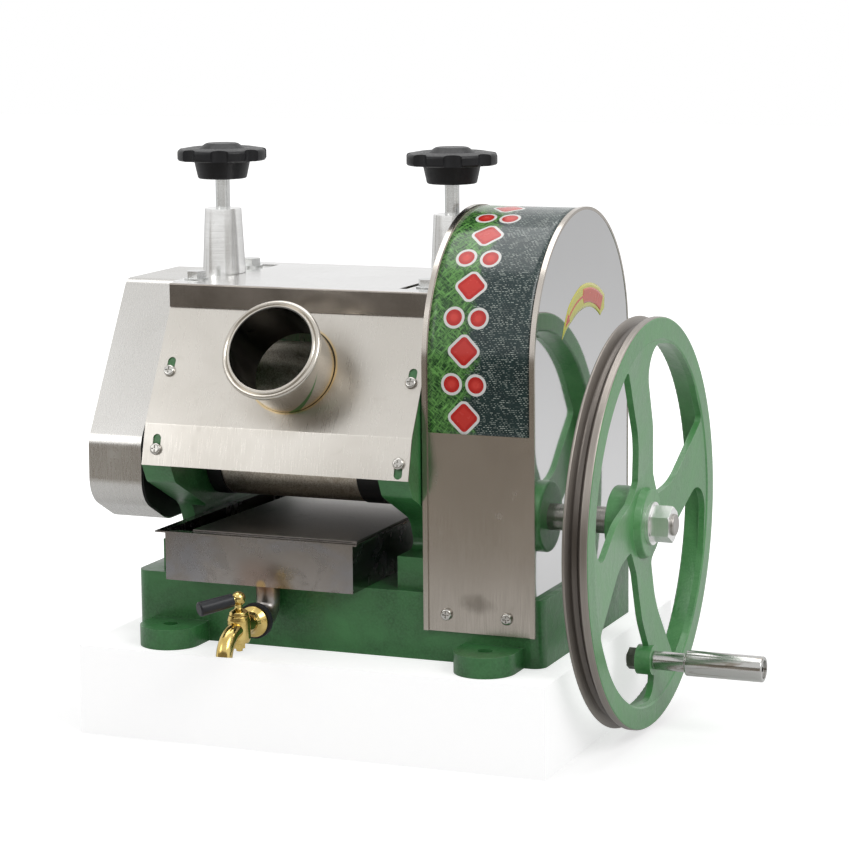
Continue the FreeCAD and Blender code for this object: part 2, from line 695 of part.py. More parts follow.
def make_block(side):
    """The sliding bearing block of the top roller."""
    frame_x = left_frame_x if side == "left" else right_frame_x
    half = size["SlotHalf"] - size["BlockFit"]
    block = box(side + "_block_body", (frame_x, -half, size["SlotFloor"]),
                (frame_thickness, half * 2, size["BlockHeight"]))
    bore = cylinder(side + "_block_bore", "X", size["JournalRadius"] + size["RunningFit"],
                    frame_thickness + 2, (frame_x - 1, 0, top_roller_z))
    return cut(side + "_block", block, bore)


def make_thrust_pad(side):
    """The swivel pad under the adjusting screw, with a socket for the screw's tip."""
    x = adjuster_x(side)
    disc = cylinder(side + "_pad_disc", "Z", size["PadRadius"], size["PadHeight"], (x, 0, block_top))
    socket = cylinder(side + "_pad_socket", "Z", tip_radius + size["RunningFit"], size["PadHeight"],
                      (x, 0, block_top + size["PadHeight"] - tip_depth))
    return cut(side + "_pad", disc, socket)


def make_adjusting_screw(side):
    x = adjuster_x(side)
    tip = block_top + size["PadHeight"] - tip_depth
    length = size["KnobBottom"] + size["KnobHubHeight"] - tip
    radius = size["StudRadius"]
    return turned(side + "_stud", "Z",
                  [(0, 0), (0, tip_radius), (tip_depth, tip_radius), (tip_depth, radius),
                   (length, radius), (length, 0)], (x, 0, tip))


def make_knob(side):
    """Lobed hand knob with a smaller hub below it and a low dome on top."""
    x = adjuster_x(side)
    bottom = size["KnobBottom"]
    hub_height = size["KnobHubHeight"]
    rim = size["KnobRimHeight"]
    radius = size["KnobRadius"]
    hub_foot = size["KnobHubRadius"] * 0.86
    crown = radius * 0.72
    dome_foot = size["KnobDomeRadius"] * 1.15
    dome_crown = size["KnobDomeRadius"] * 0.75
    top = hub_height + rim
    dome_top = top + size["KnobDome"]
    solid = turned(side + "_knob_solid", "Z",
                   [(0, 0), (0, hub_foot, 2), (hub_height, size["KnobHubRadius"], 1),
                    (hub_height, radius, 2.5), (top - 2, radius, 3), (top, crown, 4),
                    (top - 1.5, dome_foot, 2), (dome_top, dome_crown, 5), (dome_top, 0)],
                   (x, 0, bottom))
    scallop = cylinder(side + "_scallop", "Z", size["ScallopRadius"], rim * 3, (0, 0, 0))
    places = []
    lobes = int(float(size["KnobLobes"]))
    for i in range(lobes):
        turn = 360.0 * (i + 0.5) / lobes
        reach = size["ScallopReach"]
        places.append(((x + reach * math.cos(math.radians(turn)), reach * math.sin(math.radians(turn)),
                        bottom + hub_height - rim), Rotation()))
    cutters = copies(side + "_scallops", scallop, places)
    socket = cylinder(side + "_knob_socket", "Z", size["StudRadius"], hub_height + 1, (x, 0, bottom - 1))
    return cut(side + "_knob", solid, cutters, socket)


# Rollers and their gears

def make_roller(name, y, z, left_end, right_end, collars):
    """A roller turned in one piece with its shaft. The gear seat at the left has two flats."""
    start = size["BarrelStart"]
    end = size["BarrelEnd"]
    journal = size["JournalRadius"]
    shoulder = size["ShoulderRadius"]
    seat = size["SeatRadius"]
    gap = size["SideGap"]
    left_face = left_frame_end + gap
    right_face = right_frame_x - (size["RightHubLength"] if collars else 0) - gap
    gear_end = left_frame_x - size["LeftHubLength"] - gap
    corners = [
        (left_end, 0), (left_end, seat, 1), (gear_end, seat), (gear_end, journal), (left_face, journal),
        (left_face, shoulder), (start, shoulder), (start, size["BarrelRadius"], 1),
        (end, size["BarrelRadius"], 1), (end, shoulder), (right_face, shoulder), (right_face, journal),
        (right_frame_end, journal),
    ]
    if right_end is None:
        corners.append((right_frame_end, 0))
    else:
        corners += [(right_frame_end, seat), (right_end, seat, 1), (right_end, 0)]
    shaft = turned(name + "_turned", "X", corners, (0, y, z))
    flats = []
    flat = size["SeatFlat"]
    length = gear_end - left_end + 1
    for way in (-1, 1):
        flats.append(box(name + "_flat_" + str(way + 2), (left_end - 1, y - seat, z + flat * way - (
            seat if way < 0 else 0)), (length, seat * 2, seat)))
    return cut(name + "_flats", shaft, *flats)


def make_collars(name, y):
    """The two dark end collars that keep the juice off the journals."""
    gap = size["SideGap"]
    rings = []
    for tag, start, length in (
            ("left", size["BarrelStart"] - size["LeftCollarLength"], size["LeftCollarLength"]),
            ("right", size["BarrelEnd"], size["RightCollarLength"])):
        disc = cylinder(name + "_disc_" + tag, "X", size["CollarRadius"], length, (start, y, low_roller_z))
        hole = cylinder(name + "_hole_" + tag, "X", size["ShoulderRadius"] + size["RunningFit"],
                        length + gap * 4, (start - gap, y, low_roller_z))
        rings.append(cut(name + "_ring_" + tag, disc, hole))
    return group(name + "_pair", *rings)


def involute(base_radius, radius):
    """Polar angle that an involute has turned through where it reaches a radius."""
    turn = math.sqrt(max(radius * radius / (base_radius * base_radius) - 1, 0))
    return turn - math.atan(turn)


def gear_profile(teeth, phase):
    """The outline of a spur gear in its own plane, with one tooth centred at the phase angle."""
    module_size = float(gear_module)
    pitch = module_size * teeth / 2
    base = pitch * math.cos(math.radians(float(size["PressureAngle"])))
    tip = pitch + module_size
    root = pitch - 1.25 * module_size
    low = max(base, root + 0.2)
    half_pitch = (math.pi * module_size / 2 - float(size["GearBacklash"])) / 2 / pitch
    flank_zero = half_pitch + involute(base, pitch)

    def spot(radius, angle):
        return Vector(0, radius * math.cos(angle), radius * math.sin(angle))

    def flank(side, centre, radius):
        return spot(radius, centre + side * (flank_zero - involute(base, radius)))

    edges = []
    pitch_angle = 2 * math.pi / teeth
    for i in range(teeth):
        centre = math.radians(phase) + i * pitch_angle
        low_left, mid_left, tip_left = [flank(-1, centre, r) for r in (low, (low + tip) / 2, tip)]
        low_right, mid_right, tip_right = [flank(1, centre, r) for r in (low, (low + tip) / 2, tip)]
        root_left = spot(root, centre - flank_zero)
        root_right = spot(root, centre + flank_zero)
        next_root = spot(root, centre + pitch_angle - flank_zero)
        edges += [
            Part.LineSegment(root_left, low_left),
            Part.Arc(low_left, mid_left, tip_left),
            Part.Arc(tip_left, spot(tip, centre), tip_right),
            Part.Arc(tip_right, mid_right, low_right),
            Part.LineSegment(low_right, root_right),
            Part.Arc(root_right, spot(root, centre + pitch_angle / 2), next_root),
        ]
    return Part.Wire([edge.toShape() for edge in edges])


def gear_blank(name, teeth, width, phase, origin):
    """A toothed disc. Its shape comes from the involute formula, so it is made directly."""
    blank = doc.addObject("Part::Feature", name)
    face = Part.Face(gear_profile(int(float(teeth)), phase))
    blank.Shape = face.extrude(Vector(float(width), 0, 0))
    place(blank, origin)
    return blank


def line_angle(y, z):
    """Direction in degrees from one gear's middle to another's."""
    return math.degrees(math.atan2(float(z), float(y)))


def meshing_phase(teeth, direction):
    """The phase that puts a gap, not a tooth, towards the other gear."""
    return direction + 180.0 / float(teeth)


def make_roller_gear(name, y, z, phase):
    """Spur gear with a bore that has the two flats of the roller's seat."""
    width = size["RollerGearWidth"]
    start = left_frame_x - size["LeftHubLength"] - size["RollerGearGap"] - width
    blank = gear_blank(name + "_blank", size["RollerTeeth"], width, phase, (start, y, z))
    seat = size["SeatRadius"] + size["RunningFit"]
    flat = size["SeatFlat"] + size["RunningFit"]
    bore = cylinder(name + "_bore", "X", seat, width + 2, (start - 1, y, z))
    band = box(name + "_band", (start - 2, y - seat * 2, z - flat), (width + 4, seat * 4, flat * 2))
    hole = doc.addObject("Part::Common", name + "_hole")
    hole.Base = bore
    hole.Tool = band
    return cut(name + "_bored", blank, hole)


def key_box(name, radius, start, length, z):
    """A parallel key on top of a shaft, half in the shaft and half in the hub."""
    width = size["KeyWidth"]
    height = size["KeyHeight"]
    return box(name, (start, -width / 2, z + radius - height / 2), (length, width, height))


def make_main_gear(key):
    start = size["MainGearStart"]
    width = size["MainGearWidth"]
    extra = size["MainHubExtra"]
    teeth = size["MainTeeth"]
    blank = gear_blank("main_gear_blank", teeth, width, meshing_phase(teeth, -90), (start, 0, top_roller_z))
    recess_radius = main_pitch - gear_module * 1.25 - size["MainRim"]
    depth = (width - size["MainWeb"]) / 2
    hub_radius = size["MainHubRadius"]
    recesses = []
    for tag, x in (("near", start - 1), ("far", start + width - depth)):
        disc = cylinder("recess_disc_" + tag, "X", recess_radius, depth + 1, (x, 0, top_roller_z))
        core = cylinder("recess_core_" + tag, "X", hub_radius, depth + 3, (x - 1, 0, top_roller_z))
        recesses.append(cut("recess_" + tag, disc, core))
    slim = cut("main_gear_slim", blank, *recesses)
    hub = cylinder("main_gear_hub", "X", hub_radius, width + extra, (start, 0, top_roller_z))
    solid = fuse("main_gear_solid", slim, hub)
    bore = cylinder("main_gear_bore", "X", size["SeatRadius"] + size["RunningFit"], width + extra + 2,
                    (start - 1, 0, top_roller_z))
    return cut("main_gear_bored", solid, bore, key)


def make_pinion(key):
    width = size["MainGearWidth"] + size["PinionExtra"] * 2
    start = size["MainGearStart"] - size["PinionExtra"]
    blank = gear_blank("pinion_blank", size["PinionTeeth"], width, 90, (start, 0, crank_z))
    bore = cylinder("pinion_bore", "X", size["ShaftRadius"] + size["RunningFit"], width + 2,
                    (start - 1, 0, crank_z))
    return cut("pinion_bored", blank, bore, key)


def make_bush(name, start, length, y, z, inner, outer):
    tube = cylinder(name + "_outer", "X", outer, length, (start, y, z))
    hole = cylinder(name + "_inner", "X", inner + size["RunningFit"], length + 2, (start - 1, y, z))
    return cut(name, tube, hole)


def make_roller_bushes():
    bushes = []
    journal = size["JournalRadius"]
    for side, start, hub in (("left", left_frame_x, size["LeftHubLength"]),
                             ("right", right_frame_x, size["RightHubLength"])):
        for tag, y in (("front", -roller_y), ("back", roller_y)):
            bushes.append(make_bush(side + "_bush_" + tag, start - hub, hub + frame_thickness, y,
                                    low_roller_z, journal, bush_radius))
    return group("roller_bush_set", *bushes)


def make_crank_bushes():
    radius = size["ShaftRadius"]
    near = make_bush("crank_bush_near", right_frame_x, frame_thickness, 0, crank_z, radius, crank_bush_radius)
    far = make_bush("crank_bush_far", size["BracketStart"], size["BracketWidth"], 0, crank_z, radius,
                    crank_bush_radius)
    return group("crank_bush_set", near, far)


def make_bracket():
    """Outboard bearing bracket for the crank shaft, standing on the base."""
    half = size["BracketFootHalf"]
    foot_top = base_top + size["BracketFootHeight"]
    hub = size["BracketHubRadius"]
    outline = [(-half, base_top), (half, base_top), (half, foot_top, 3), (hub + 6, foot_top, 10),
               (hub - 2, crank_z), (-hub + 2, crank_z), (-hub - 6, foot_top, 10), (-half, foot_top, 3)]
    web = prism("bracket_web", "YZ_Plane", outline, size["BracketStart"], size["BracketWidth"])
    ring = cylinder("bracket_hub", "X", hub, size["BracketWidth"], (size["BracketStart"], 0, crank_z))
    solid = fuse("bracket_solid", web, ring)
    bore = cylinder("bracket_bore", "X", crank_bush_radius, size["BracketWidth"] + 2,
                    (size["BracketStart"] - 1, 0, crank_z))
    return cut("bracket_bored", solid, bore, foot_bolt_holes("bracket"))


# Crank shaft, flywheel and handle

hub_front = size["FrontBossEnd"]
nut_end = hub_front + size["WasherThickness"] + size["NutHeight"]


def make_crank_shaft(*keys):
    start = right_frame_x - 3
    radius = size["ShaftRadius"]
    thread = size["ShaftThreadRadius"]
    end = nut_end + size["ThreadEnd"]
    shaft = turned("crank_shaft_turned", "X",
                   [(start, 0), (start, radius, 1), (hub_front - 1, radius), (hub_front - 1, thread),
                    (end, thread, 1.5), (end, 0)], (0, 0, crank_z))
    return cut("crank_shaft_keyed", shaft, *keys)


def polar(radius, angle):
    """A place on the flywheel's face from its radius and its angle, from +Y towards +Z."""
    radius = measure(radius)
    turn = math.radians(angle)
    return radius * math.cos(turn), radius * math.sin(turn)


def make_flywheel(key):
    """Rim with a belt groove, four swept spokes in one shallow cone, and a boss on each side."""
    face = size["RimFace"]
    back = face - size["RimWidth"]
    radius = size["RimRadius"]
    inner = radius - size["RimDepth"]
    middle = face - size["RimWidth"] / 2 - size["GrooveShift"]
    groove = size["GrooveWidth"] / 2
    floor = size["GrooveFloor"] / 2
    depth = size["GrooveDepth"]
    web_thickness = size["WebThickness"]
    web_rim = size["WebRimFace"]
    rim = turned("flywheel_rim", "X",
                 [(back, inner + 4, 2), (back, radius, 2), (middle - groove, radius, 1),
                  (middle - floor, radius - depth, 2.5), (middle + floor, radius - depth, 2.5),
                  (middle + groove, radius, 1), (face, radius, 2), (face, inner + 1.5, 0.6),
                  (web_rim, inner), (web_rim - web_thickness, inner)],
                 (0, 0, crank_z))
    web_back = size["WebFace"] - web_thickness
    web_edge = inner + 1
    disc = turned("flywheel_disc", "X",
                  [(web_back, 0), (web_back, size["WebHub"]), (web_rim - web_thickness, web_edge),
                   (web_rim, web_edge), (size["WebFace"], size["WebHub"]), (size["WebFace"], 0)],
                  (0, 0, crank_z))
    window = doc.addObject("PartDesign::Body", "flywheel_window")
    sketch = new_sketch(window, "YZ_Plane", -1)
    edge = inner + 0.4
    # radius, angle and rounding of each corner; two lie outside the rim, so that their large
    # roundings follow it
    spots = [
        (edge, 26.0, 7), (edge / math.cos(math.radians(9.8)), 46.0, 125),
        (edge / math.cos(math.radians(13.2)), 66.0, 125), (edge * 1.012, 99.0, 24),
        (size["WindowWaistTrail"], 80.0, 60), (size["WindowHubTrail"], 60.0, 16),
        (size["WindowHubLead"], 27.0, 9), (size["WindowWaistLead"], 17.5, 70),
    ]
    draw_outline(sketch, [polar(r, a) + (bend,) for r, a, bend in spots])
    pad = window.newObject("PartDesign::Pad", "window_pad")
    pad.Profile = sketch
    bind(pad, "Length", web_rim - web_back + 2)
    windows = []
    for i in range(4):
        link = doc.addObject("App::Link", "window_" + str(i + 1))
        link.LinkedObject = window
        link.LinkTransform = True
        place(link, (web_back, 0, crank_z), Rotation(Vector(1, 0, 0), 90 * i))
        windows.append(link)
    web = cut("flywheel_web", disc, group("flywheel_windows", *windows))
    rear = turned("flywheel_rear_boss", "X",
                  [(size["RearBossStart"], 0), (size["RearBossStart"], size["RearBossRadius"], 2),
                   (web_back + 1, size["RearBossRadius"]), (web_back + 1, 0)], (0, 0, crank_z))
    front = turned("flywheel_front_boss", "X",
                   [(size["WebFace"] - 1, 0), (size["WebFace"] - 1, size["FrontBossRadius"]),
                    (hub_front, size["FrontBossRadius"] - 3, 2), (hub_front, 0)], (0, 0, crank_z))
    pad_height = size["HandlePadHeight"]
    pad_boss = cylinder("flywheel_handle_pad", "X", size["HandlePadRadius"],
                        pad_height + web_thickness, (web_back, size["HandleY"], handle_z))
    solid = fuse("flywheel_solid", rim, web, rear, front, pad_boss)
    bore = cylinder("flywheel_bore", "X", size["ShaftRadius"] + size["RunningFit"], face,
                    (web_back - face / 2, 0, crank_z))
    handle_hole = cylinder("flywheel_handle_hole", "X", size["HandleBoltRadius"] + size["RunningFit"],
                           pad_height + web_thickness + 2, (web_back - 1, size["HandleY"], handle_z))
    return cut("flywheel_bored", solid, bore, handle_hole, key)


def make_flywheel_washer():
    thickness = size["WasherThickness"]
    disc = cylinder("washer_disc", "X", size["WasherRadius"], thickness, (hub_front, 0, crank_z))
    hole = cylinder("washer_hole", "X", size["ShaftThreadRadius"] + size["ClearFit"], thickness + 2,
                    (hub_front - 1, 0, crank_z))
    return cut("washer_ring", disc, hole)


def make_flywheel_nut():
    start = hub_front + size["WasherThickness"]
    length = size["NutHeight"]
    prism_part = hexagon("nut_prism", "X", size["NutAcross"], length, (start, 0, crank_z))
    face_radius = size["NutAcross"] / 2 + 0.9
    full_radius = size["NutAcross"] * 0.6
    bevel = 1.2
    rounding = turned("nut_rounding", "X",
                      [(start, 0), (start, face_radius), (start + bevel, full_radius),
                       (start + length - bevel, full_radius), (start + length, face_radius),
                       (start + length, 0)], (0, 0, crank_z))
    common = doc.addObject("Part::Common", "nut_common")
    common.Base = prism_part
    common.Tool = rounding
    hole = cylinder("nut_hole", "X", size["ShaftThreadRadius"] + size["RunningFit"], length + 2,
                    (start - 1, 0, crank_z))
    return cut("nut_drilled", common, hole)


handle_z = crank_z - size["RimRadius"] + size["HandleInset"]
handle_face = size["WebFace"] + size["HandlePadHeight"]
grip_start = handle_face + size["HandleNeckLength"] + size["ClearFit"]
grip_end = grip_start + size["HandleGripLength"]


def make_handle_pin():
    """Bolt through the spoke, neck and the spindle that the grip turns on, in one piece."""
    nut = size["HandleNutHeight"]
    bolt = size["HandleBoltRadius"]
    back = size["WebFace"] - size["WebThickness"] - nut - 2
    neck = size["HandleNeckRadius"]
    spindle = size["HandleSpindleRadius"]
    neck_end = handle_face + size["HandleNeckLength"]
    spindle_end = grip_end - size["HandleCapDepth"]
    shaft = turned("handle_pin_turned", "X",
                   [(back, 0), (back, bolt, 1), (handle_face, bolt), (handle_face, neck, 0.8),
                    (neck_end, neck, 0.8), (neck_end, spindle), (spindle_end, spindle), (spindle_end, 0)],
                   (0, size["HandleY"], handle_z))
    tapped = cylinder("handle_pin_tapped", "X", size["ScrewRadius"] + size["RunningFit"],
                      size["ScrewLength"] * 2, (spindle_end - size["ScrewLength"], size["HandleY"], handle_z))
    return cut("handle_pin_solid", shaft, tapped)


def make_handle_nut():
    height = size["HandleNutHeight"]
    start = size["WebFace"] - size["WebThickness"] - height
    solid = hexagon("handle_nut_prism", "X", size["HandleNutAcross"], height,
                    (start, size["HandleY"], handle_z))
    hole = cylinder("handle_nut_hole", "X", size["HandleBoltRadius"] + size["RunningFit"], height + 2,
                    (start - 1, size["HandleY"], handle_z))
    return cut("handle_nut_solid", solid, hole)


def make_handle_grip():
    radius = size["HandleGripRadius"]
    cap = size["HandleCapRadius"]
    bore = size["HandleSpindleRadius"] + size["RunningFit"]
    step = grip_end - size["HandleCapDepth"]
    return turned("handle_grip_turned", "X",
                  [(grip_start, bore), (grip_start, radius, 1.5), (grip_end, radius, 1.5),
                   (grip_end, cap), (step, cap), (step, bore)], (0, size["HandleY"], handle_z))


def make_handle_screw():
    """The screw in the grip's end that keeps the grip on its spindle."""
    step = grip_end - size["HandleCapDepth"] + size["ClearFit"] / 2
    head = cylinder("handle_screw_head", "X", size["HandleCapRadius"] - size["ClearFit"],
                    size["HandleScrewHead"], (step, size["HandleY"], handle_z))
    shank = cylinder("handle_screw_shank", "X", size["ScrewRadius"], size["ScrewLength"] - 2,
                     (step - size["ScrewLength"] + 2, size["HandleY"], handle_z))
    socket = hexagon("handle_screw_socket", "X", size["HandleSocketAcross"], size["HandleScrewHead"],
                     (step + size["HandleScrewHead"] * 0.4, size["HandleY"], handle_z))
    return cut("handle_screw", fuse("handle_screw_solid", head, shank), socket)


# Sheet covers

def make_top_cover():
    half = size["CoverHalf"]
    sheet_size = size["Sheet"]
    top = size["CoverTop"]
    lip = top - size["CoverLip"]
    outline = [(-half, lip), (-half, top, 1.6), (half, top, 1.6), (half, lip), (half - sheet_size, lip),
               (half - sheet_size, top - sheet_size, 0.4), (-half + sheet_size, top - sheet_size, 0.4),
               (-half + sheet_size, lip)]
    start = size["CoverStart"]
    shell = prism("top_cover_sheet", "YZ_Plane", outline, start, size["CoverEnd"] - start)
    reach = size["NotchReach"]
    notch_half = size["NotchHalf"]
    left_end = size["LeftAdjusterX"] + reach
    right_start = size["RightAdjusterX"] - reach
    left = box("left_notch", (start - 1, -notch_half, top - 3), (left_end - start + 1, notch_half * 2, 6))
    right = box("right_notch", (right_start, -notch_half, top - 3),
                (size["CoverEnd"] - right_start + 1, notch_half * 2, 6))
    return cut("top_cover_cut", shell, left, right)


plate_length = size["ArchStart"] - size["PlateEndGap"] - size["CoverStart"]


def plate_slots(name, way, places):
    """Round-ended slots through the front plate, running up from each screw for 1 and down for -1."""
    width = size["SlotWidth"]
    extra = size["SlotLength"] - width
    depth = size["SlotLength"]
    bar = box(name + "_bar", (-width / 2, extra * ((way - 1) / 2), -depth / 2), (width, extra, depth))
    near = cylinder(name + "_near_end", "Z", width / 2, depth, (0, 0, -depth / 2))
    far = cylinder(name + "_far_end", "Z", width / 2, depth, (0, extra * way, -depth / 2))
    return copies(name, fuse(name + "_slot", bar, near, far), places)


def is_lower_right(screw):
    """Whether a plate screw is the one whose slot runs down."""
    x, y, z = screw[0]
    return float(x) > 0 and float(z) < float(bend_z)


def make_front_cover():
    """The sloping stainless front plate, bent once, with the feed hole and four screw slots."""
    gap = size["SheetY"]
    top = size["CoverTop"] - size["PlateTopDrop"]
    bottom = size["NoseZ"]
    points = [(-front_y(top), top), (-bend_y, bend_z), (-size["NoseY"], bottom),
              (-size["NoseY"] - gap, bottom), (-bend_y - gap, bend_z, 3), (-front_y(top) - gap, top)]
    plate = prism("front_plate", "YZ_Plane", points, size["CoverStart"], plate_length)
    hole = cylinder("feed_hole", tilt(-1, front_slope), size["TubeRadius"] + size["BlockFit"], 40,
                    feed_origin(-20))
    screws = front_screw_places()
    rising = plate_slots("rising_slots", 1, [item for item in screws if not is_lower_right(item)])
    falling = plate_slots("falling_slots", -1, [item for item in screws if is_lower_right(item)])
    return cut("front_plate_cut", plate, hole, rising, falling)


def front_screw_places():
    return [item for item in plate_screw_places() if float(item[0][1]) < 0]


def feed_origin(out):
    """A point on the feed tube's axis, a distance out of the plate."""
    turn = math.radians(front_slope)
    y = -front_y(size["TubeZ"]) - size["SheetY"]
    return (size["TubeX"], y - out * math.cos(turn), size["TubeZ"] + out * math.sin(turn))


def make_feed_tube():
    """Round feed tube square to the plate, with a rolled rim and the seam where the roll ends."""
    radius = size["TubeRadius"]
    inner = radius - size["TubeWall"]
    inside = size["TubeInside"]
    end = size["TubeLength"] + inside
    bead = size["TubeBead"]
    rotation = tilt(-1, front_slope).multiply(Rotation(Vector(0, 1, 0), -90))
    bead_start = end - size["TubeBeadLength"]
    bead_round = size["TubeBeadLength"] * 0.45
    seam = size["TubeSeam"]
    seam_radius = radius + bead * 0.3
    return turned("feed_tube_turned", rotation,
                  [(0, inner), (0, radius), (bead_start, radius), (bead_start, radius + bead, bead_round),
                   (end, radius + bead, bead_round), (end, seam_radius + seam), (end - seam, seam_radius),
                   (end, seam_radius - seam), (end, inner, 0.5)],
                  feed_origin(-float(inside)))


def make_back_cover():
    """The back plate, with a lip that throws the pressed cane clear."""
    gap = size["SheetY"]
    top = size["CoverTop"] - size["PlateTopDrop"]
    lip_y = bend_y + size["BackLipY"]
    lip_z = bend_z - size["BackLipZ"]
    # the outer corner of the bend, on the slope's outer face
    rise = gap * 0.65
    shift = front_y(bend_z + rise) + gap - bend_y
    points = [(front_y(top), top), (bend_y, bend_z), (lip_y, lip_z), (lip_y + shift, lip_z + rise),
              (bend_y + shift, bend_z + rise, 2), (front_y(top) + gap, top)]
    plate = prism("back_plate", "YZ_Plane", list(reversed(points)), size["CoverStart"], plate_length)
    drill = cylinder("back_drill", "Z", size["ScrewRadius"] + size["ClearFit"], size["ScrewLength"] * 2,
                     (0, 0, -size["ScrewLength"]))
    places = [item for item in plate_screw_places() if float(item[0][1]) > 0]
    return cut("back_plate_cut", plate, copies("back_plate_holes", drill, places))


def arch_solid(name, half, bottom, start, length):
    """A plate with straight sides and a half-round top."""
    body = doc.addObject("PartDesign::Body", name)
    sketch = new_sketch(body, "YZ_Plane", start)
    half = measure(half)
    centre = size["ArchCentreZ"]
    reach = half.value
    circle = Part.Circle(Vector(0, centre.value, 0), Vector(0, 0, 1), reach)
    corners = [Vector(reach, centre.value, 0), Vector(-reach, centre.value, 0),
               Vector(-reach, float(bottom), 0), Vector(reach, float(bottom), 0)]
    arc = sketch.addGeometry(Part.ArcOfCircle(circle, 0, math.pi), False)
    left = sketch.addGeometry(Part.LineSegment(corners[1], corners[2]), False)
    base = sketch.addGeometry(Part.LineSegment(corners[2], corners[3]), False)
    right = sketch.addGeometry(Part.LineSegment(corners[3], corners[0]), False)
    sketch.addConstraint(Sketcher.Constraint("Coincident", left, 2, base, 1))
    sketch.addConstraint(Sketcher.Constraint("Coincident", base, 2, right, 1))
    sketch.addConstraint(Sketcher.Constraint("Tangent", arc, 2, left, 1))
    sketch.addConstraint(Sketcher.Constraint("Tangent", arc, 1, right, 2))
    pin(sketch, arc, 3, (0, centre))
    pin(sketch, base, 1, (-half, bottom))
    pin(sketch, base, 2, (half, bottom))
    pad = body.newObject("PartDesign::Pad", name + "_pad")
    pad.Profile = sketch
    bind(pad, "Length", length)
    return body


def make_arch_cover():
    """The wide band over the main gear, with a rolled bead along each edge."""
    half = size["ArchHalf"]
    sheet_size = size["Sheet"]
    start = size["ArchStart"]
    length = size["ArchEnd"] - start
    bottom = size["SkirtBottom"]
    bead = size["BeadWidth"]
    outer = arch_solid("arch_outer", half, bottom, start, length)
    near_bead = arch_solid("arch_bead_near", half + size["BeadHeight"], bottom, start, bead)
    far_bead = arch_solid("arch_bead_far", half + size["BeadHeight"], bottom, size["ArchEnd"] - bead, bead)
    inner = arch_solid("arch_inner", half - sheet_size, bottom - 1, start - 1, length + 2)
    solid = fuse("arch_solid", outer, near_bead, far_bead)
    drill = cylinder("arch_clear_drill", "Z", size["ScrewRadius"] + size["ClearFit"],
                     size["ScrewLength"] * 2, (0, 0, -size["ScrewLength"]))
    holes = copies("arch_clear_holes", drill, arch_screw_places())
    return cut("arch_band", solid, inner, holes)


def make_arch_plate(name, start, holes):
    """A side plate of the arch cover, inside its band and standing on the base."""
    plate = arch_solid(name + "_plate", size["ArchHalf"] - size["Sheet"], base_top, start, size["Sheet"])
    drills = []
    for i, (z, radius) in enumerate(holes):
        drills.append(cylinder(name + "_hole_" + str(i + 1), "X", radius, size["Sheet"] * 4,
                               (start - size["Sheet"], 0, z)))
    return cut(name + "_cut", plate, *drills)


def left_cover_outline(inset):
    """The left gear cover seen from the side, drawn in by an inset."""
    top = size["LeftCoverTop"] - inset
    half = [
        (-size["LeftBottomHalf"] + inset * 0.4, size["LeftBottom"] + inset, 34 - float(inset)),
        (-size["LeftLowY"] + inset, size["LeftLowZ"] - 26, 30 - float(inset)),
        (-size["LeftSideY"] - 2.5 + inset, size["LeftSideZ"], 24 - float(inset)),
        (-size["LeftTopHalf"] - 2 + inset * 0.6, top, 12 - float(inset)),
    ]
    return half + mirrored(half)


def make_left_cover():
    start = size["LeftCoverStart"]
    length = size["LeftCoverEnd"] - start
    solid = prism("left_cover_solid", "YZ_Plane", left_cover_outline(measure(0)), start, length)
    inner = prism("left_cover_inner", "YZ_Plane", left_cover_outline(size["Sheet"]), start + size["Sheet"],
                  length)
    drill = cylinder("left_cover_drill", "Z", size["ScrewRadius"] + size["ClearFit"],
                     size["ScrewLength"] * 2, (0, 0, -size["ScrewLength"]))
    holes = copies("left_cover_holes", drill, post_screw_places())
    return cut("left_cover_shell", solid, inner, holes)


def make_left_back_plate():
    """Inner plate of the left gear cover, against the frame's hubs, with the cover's two posts."""
    sheet_size = size["Sheet"]
    hub_face = left_frame_x - size["LeftHubLength"]
    plate = prism("left_back_sheet", "YZ_Plane", left_cover_outline(sheet_size + size["ClearFit"]),
                  hub_face - sheet_size, sheet_size)
    start = size["LeftCoverStart"] + sheet_size
    posts = []
    taps = []
    clear = size["JournalRadius"] + 3
    for way in (-1, 1):
        tag = str(way + 2)
        posts.append(cylinder("post_" + tag, "X", size["PostRadius"], hub_face - start,
                              (start, size["PostY"] * way, size["PostZ"])))
        taps.append(cylinder("post_tap_" + tag, "X", size["ScrewRadius"] + size["RunningFit"],
                             size["ScrewLength"] + 3, (start - 1, size["PostY"] * way, size["PostZ"])))
        taps.append(cylinder("back_plate_hole_" + tag, "X", clear, sheet_size * 4,
                             (hub_face - sheet_size * 2, roller_y * way, low_roller_z)))
    taps.append(cylinder("back_plate_hole_top", "X", clear, sheet_size * 4,
                         (hub_face - sheet_size * 2, 0, top_roller_z)))
    return cut("left_back_plate", fuse("left_back_solid", plate, *posts), *taps)


# Juice tray, drain and tap

tray_bottom = base_top + size["TrayBottomGap"]
tray_top = tray_bottom + size["TrayHeight"]


def tray_outline(grow):
    """The tray seen from above. Its left side runs in a little towards the back."""
    return [
        (size["TrayLeft"] - grow, -size["TrayFrontY"] - grow),
        (size["TrayRight"] + grow, -size["TrayFrontY"] - grow),
        (size["TrayRight"] + grow, size["TrayBackY"]),
        (size["TrayBackLeft"] - grow, size["TrayBackY"]),
    ]


